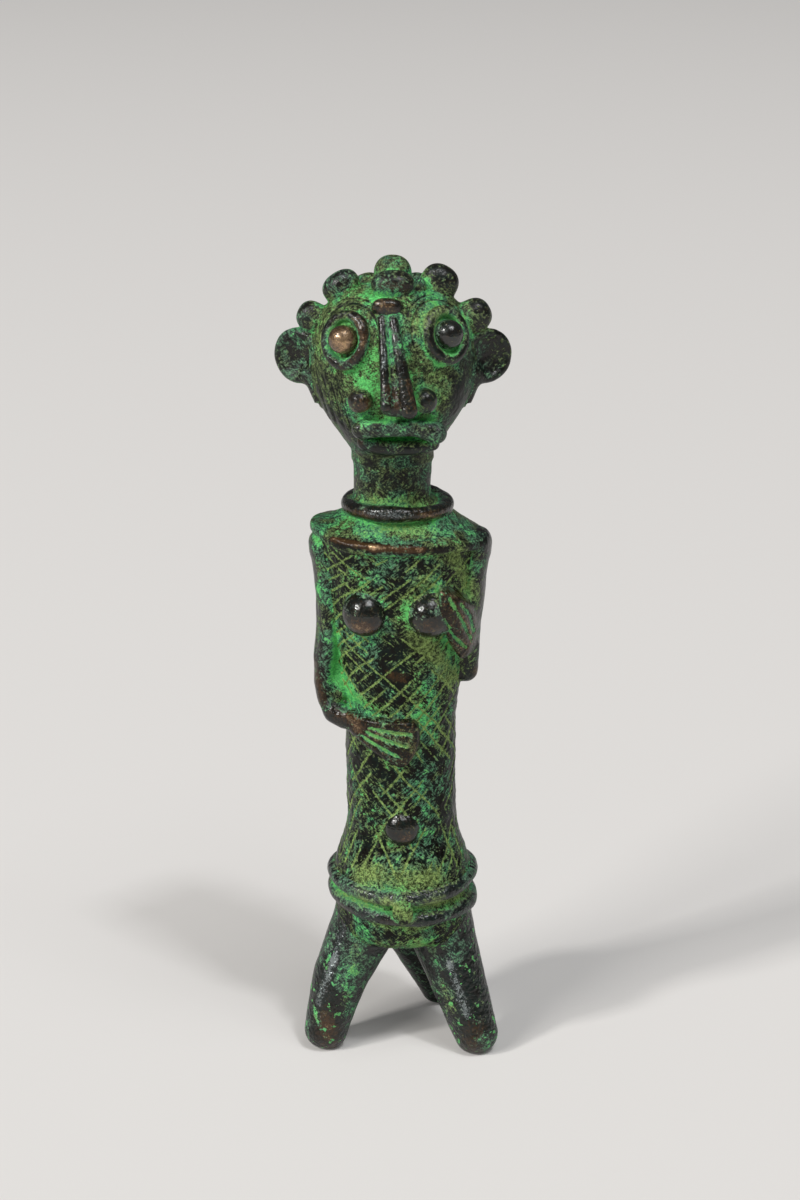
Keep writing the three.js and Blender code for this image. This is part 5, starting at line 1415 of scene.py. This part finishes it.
def patina(
    seed, cover, hollow=0.6, teal=0.05, worn=0.0, gloss=0.3, shine=0.35, dust=0.3, gather=0.25, specks=0.0,
    chipped=1.0, ripple=0.6, soft=0.0,
):
    """Cast bronze under a green patina.

    cover is how much patina lies on plain ground, and hollow how much more in hollows. teal cools the
    tones and worn browns the bare ground, whose roughness is gloss. shine is the specular level. dust is
    how much dust and gather how much patina lies in incised lines. specks adds round spots of bright
    patina. chipped is how much the patina breaks into scratched chips, and ripple how uneven the ground
    is. soft widens the steps from one tone to the next.
    """
    n = Nodes("patina_" + str(seed))
    where = n.add("TexCoord").outputs["Object"]
    offset = (seed * 0.013, seed * 0.007, seed * 0.011)
    place = n.add("Mapping", {"Vector": where, "Location": offset}).outputs["Vector"]
    close, deep, bend, lines = n.attribute("relief")
    # The zones are bright green, olive dust, painted shade and thin brown patina
    bright, olive, painted_shade, brown = n.attribute("zones")
    # The marks are the trunk's grain and the patches of worn metal with painted highlight
    grain, wear_and_painted_highlight, _, _ = n.attribute("marks")
    grain = n.maths("SUBTRACT", grain, 0.5)
    # bend is under its middle where the ground is raised and over it in pits
    raised = n.maths("SUBTRACT", 0.5, bend)

    broad = n.wave(place, 0.15, 2, 0.5)
    middle = n.wave(place, 0.6, 5, 0.62, 0.5)
    fine = n.wave(place, 2.0, 6, 0.74, 0.4)
    grit = n.wave(place, 4.8, 4, 0.7)
    chip = n.blend(n.ramp(n.wave(place, 0.35, 1), -0.06, 0.06), n.chips(place, 0.75), n.chips(place, -0.7))
    cut = n.ramp([lines, (fine, 0.8)], 0.15, 0.7)

    # The painted shade and the painted highlight patches thin the patina, so that the bare ground shows
    # there
    lie = n.plus(
        cover, (close, hollow), (deep, 0.3), (raised, -2.0), (cut, gather), (bright, 0.5), (olive, 0.35),
        (painted_shade, -0.55), (brown, -0.5), (wear_and_painted_highlight, -0.7), (broad, 1.1), (middle, 1.8),
        (fine, 1.1 + 0.7 * min(chipped, 1)), (chip, 2.4 * chipped), (grain, 0.8),
    )
    crust = n.ramp(lie, 0.3 - soft, 0.56 + soft)
    verdigris = n.ramp([lie, (bright, 0.2), (grit, 1.8)], 0.64, 1.0 + soft)
    vivid = n.ramp([lie, (bright, 0.55), (grit, 2.6), (middle, 1.0), (fine, 1.2)], 0.99, 1.48)
    if specks:
        spot = n.ramp([n.noise(place, 0.8, 3, 0.55), (fine, 0.15)], 0.66 - specks, 0.70 - specks)
        crust, verdigris = n.larger(crust, spot), n.larger(verdigris, spot)
        vivid = n.larger(vivid, n.times(spot, 0.6))

    skin = n.blend(n.ramp([teal, middle], -0.1, 0.2), BLACK, INK)
    warm = n.ramp([worn, (brown, 0.8), (fine, 2.0), (middle, 0.8)], 0.3, 0.9)
    skin = n.blend(warm, skin, UMBER)
    bare_terms = [worn, (brown, 0.42), (raised, 4.0), (middle, 1.2), (fine, 1.2), (grit, 1.2)]
    bare = n.ramp(bare_terms, 0.66, 1.25)
    # Broken steel-grey glints and steel-grey bare metal on the worn patches: painted highlights
    painted_glint = n.times(n.ramp(wear_and_painted_highlight, 0.1, 0.4), n.ramp([(wear_and_painted_highlight, 0.32), (fine, 1.2), (grit, 0.9)], 0.2, 0.4))
    skin = n.blend(bare, skin, n.blend(n.ramp(wear_and_painted_highlight, 0.1, 0.5), BRONZE, PAINTED_SHEEN_STEEL))
    skin = n.blend(painted_glint, skin, PAINTED_SHEEN_STEEL)
    bare = n.larger(bare, painted_glint)
    cool = n.ramp([teal, broad, (middle, 0.5)], -0.02, 0.14)
    low = n.blend(cool, LOW_WARM, LOW_COOL)
    high = n.blend(cool, HIGH_WARM, HIGH_COOL)
    dull = n.blend(n.ramp([fine, (grit, 0.9), (chip, 0.6)], -0.12, 0.15), low, high)
    colour = n.blend(crust, skin, dull)
    colour = n.blend(verdigris, colour, n.blend(cool, GREEN, SEA))
    speckle = n.ramp([fine, (grit, 0.9), (chip, 0.5)], -0.16, 0.16)
    colour = n.blend(vivid, colour, n.blend(speckle, EMERALD, MALACHITE))
    dust_colour = n.blend(n.ramp([fine, (grit, 0.8)], -0.14, 0.16), DUST_LOW, DUST_HIGH)
    dust_terms = [(olive, 0.85), (cut, dust), (close, 0.1), (middle, 1.6), (fine, 1.8), (chip, 0.8)]
    dusty = n.ramp(dust_terms, 0.2, 1.15)
    colour = n.blend(dusty, colour, dust_colour)

    crusted = n.larger(crust, dusty)
    roughness = n.plus(n.ramp(crusted, 0, 1, gloss, 0.58), (middle, 0.2))
    metallic = n.times(bare, n.maths("SUBTRACT", 0.9, crusted, clamp=True))
    ridges = n.noise(place, 1.7, 1, 0.5)
    height = n.plus((ridges, ripple), (crusted, n.plus(0.25, (grit, 0.8), (fine, 0.5))))
    bump = n.add("Bump", {"Strength": 0.8, "Distance": BUMP_HEIGHT, "Height": height})
    surface = {"Base Color": colour, "Roughness": roughness, "Metallic": metallic, "Normal": bump.outputs[0]}
    shader = n.add("BsdfPrincipled", {**surface, "Specular IOR Level": shine})
    n.add("OutputMaterial", {0: shader.outputs[0]})
    return n.material


# How each group of pieces is finished. The first row whose word is in a node's
# name is that node's.
LOOKS = (
    ("pellet", patina(21, -0.3, hollow=0.3, worn=0.36, gloss=0.28, shine=0.6, chipped=0.3)),
    ("trunk", patina(1, 0.28, hollow=0.7, shine=0.14, dust=1.1, gather=0.7, soft=0.03)),
    (
        "head rear_knob",
        patina(2, 0.56, 0.5, gloss=0.34, shine=0.2, dust=0.2, gather=-0.7, chipped=0.2, soft=0.26),
    ),
    ("cap", patina(3, 0.53, hollow=0.5, teal=0.03, gloss=0.34, shine=0.2, chipped=0.6, soft=0.12)),
    ("neck_coil wrist_band", patina(10, -0.02, 0.9, 0.05, 0.34, 0.27, 0.5, chipped=0.5, ripple=1.0)),
    ("neck", patina(4, 0.42, teal=0.06, gloss=0.32, shine=0.2, chipped=0.7, soft=0.2)),
    ("leg", patina(5, 0.27, 0.6, 0.09, 0.16, 0.32, 0.5, specks=0.035, chipped=0.4, ripple=1.6)),
    # The rear support takes little patina and stays near black: painted shade, for the trunk's shadow over
    # it
    ("support", patina(6, 0.1, gloss=0.36, shine=0.2)),
    ("belt_coil", patina(8, 0.2, 1.0, 0.1, 0.18, 0.28, 0.6, chipped=0.6, ripple=1.4)),
    ("join", patina(9, 0.5, gloss=0.4, shine=0.2, soft=0.1)),
    ("arm", patina(7, 0.28, hollow=0.8, worn=0.14, shine=0.3, chipped=0.7)),
    ("top_knob", patina(20, 0.62, hollow=0.4, teal=0.04, gloss=0.4, shine=0.3, chipped=0.5, soft=0.15)),
    ("knob", patina(11, 0.29, 0.8, 0.04, 0.36, 0.36, 0.4, chipped=0.8, soft=0.1)),
    ("ear", patina(12, 0.3, hollow=0.3, teal=0.04, worn=0.3, shine=0.4, chipped=0.7, soft=0.1)),
    ("hand", patina(13, 0.08, 0.3, worn=0.5, gloss=0.28, shine=0.25, dust=0.4, gather=1.0, ripple=0.8)),
    ("breast navel", patina(14, -0.02, 0.7, 0.04, 0.36, 0.22, 0.6, chipped=0.5, ripple=0.5)),
    ("ring nostril", patina(15, 0.12, hollow=0.9, worn=0.34, shine=0.5, chipped=0.5, ripple=0.8)),
    ("eyeball", patina(16, -0.25, hollow=0.4, worn=0.34, gloss=0.26, shine=0.8, chipped=0.3, ripple=0.5)),
    ("nose", patina(17, 0.08, hollow=1.0, worn=0.38, shine=0.5, chipped=0.5, ripple=0.8)),
    ("upper_lip", patina(18, 0.42, hollow=0.5, teal=0.1, worn=0.14, shine=0.5, chipped=0.6, soft=0.1)),
    ("lower_lip", patina(19, 0.2, hollow=0.5, worn=0.26, shine=0.4, chipped=0.6)),
)
for node in forms:
    piece = make_piece(node)
    look = next(look for words, look in LOOKS if any(word in node for word in words.split()))
    piece.data.materials.append(look)

# Floor

FLOOR_REACH = 6.0
FLOOR_COLOUR = (0.76, 0.735, 0.715, 1)
GLOW_COLOUR = (0.72, 0.695, 0.675, 1)
GLOW_SHARE = 0.1
mesh = bpy.data.meshes.new("floor")
floor_corners = [(x * FLOOR_REACH, y * FLOOR_REACH, 0) for x, y in ((-1, -1), (1, -1), (1, 1), (-1, 1))]
mesh.from_pydata(floor_corners, [], [(0, 1, 2, 3)])
floor = put_in_scene("floor", mesh)
n = Nodes("pale_floor")
diffuse = n.add("BsdfDiffuse", {"Color": FLOOR_COLOUR}).outputs[0]
glow = n.add("Emission", {"Color": GLOW_COLOUR, "Strength": 1.0}).outputs[0]
ray = n.add("LightPath").outputs
direct = n.larger(n.larger(ray["Is Camera Ray"], ray["Is Glossy Ray"]), ray["Is Transmission Ray"])
mixed = n.add("MixShader", {0: n.times(direct, GLOW_SHARE), 1: diffuse, 2: glow})
n.add("OutputMaterial", {0: mixed.outputs[0]})
mesh.materials.append(n.material)

# World and lamps

world = bpy.data.worlds.new("studio")
bpy.context.scene.world = world
world.use_nodes = True
background = world.node_tree.nodes["Background"].inputs
background["Color"].default_value = (0.97, 0.985, 1.0, 1)
background["Strength"].default_value = 0.12

LAMP_TARGET = Vector((0.001, 0.0, 0.075))
LAMP_DISTANCE = 5.0
for name, direction, size, power, colour in (
    ("left_window", (-0.62, -0.58, 0.62), 1.5, 95.0, (1.0, 0.99, 0.96)),
    ("left_pane", (-0.676, -0.41, 0.622), 0.5, 95.0, (1.0, 0.99, 0.97)),
    ("upper_window", (0.27, -0.36, 0.894), 2.6, 72.0, (0.97, 0.99, 1.0)),
    ("upper_pane", (0.27, -0.36, 0.894), 0.45, 58.0, (0.96, 0.98, 1.0)),
):
    data = bpy.data.lights.new(name, "AREA")
    data.shape = "SQUARE"
    data.size = size
    data.energy = power
    data.color = colour
    lamp = put_in_scene(name, data)
    way = Vector(direction).normalized()
    lamp.location = LAMP_TARGET + way * LAMP_DISTANCE
    lamp.rotation_euler = (-way).to_track_quat("-Z", "Y").to_euler()

# Camera, at the photograph's place: about 18 degrees down, an 85 mm lens on a 36 mm tall frame

CAMERA_BACK = 425.0
CAMERA_HEIGHT = 214.94
CAMERA_PITCH = math.radians(18.18)
IMAGE_HEIGHT = 1200
FOCAL_PIXELS = 2833
SENSOR = 36.0
data = bpy.data.cameras.new("camera")
data.sensor_width = SENSOR
data.lens = FOCAL_PIXELS / IMAGE_HEIGHT * SENSOR
data.clip_start = 0.02
data.clip_end = 30
camera = put_in_scene("camera", data)
camera.location = Vector((SHIFT[0], SHIFT[1] - CAMERA_BACK, CAMERA_HEIGHT)) / MM
camera.rotation_euler = (math.pi / 2 - CAMERA_PITCH, 0, 0)
bpy.context.scene.camera = camera
bpy.context.scene.view_settings.view_transform = "Standard"
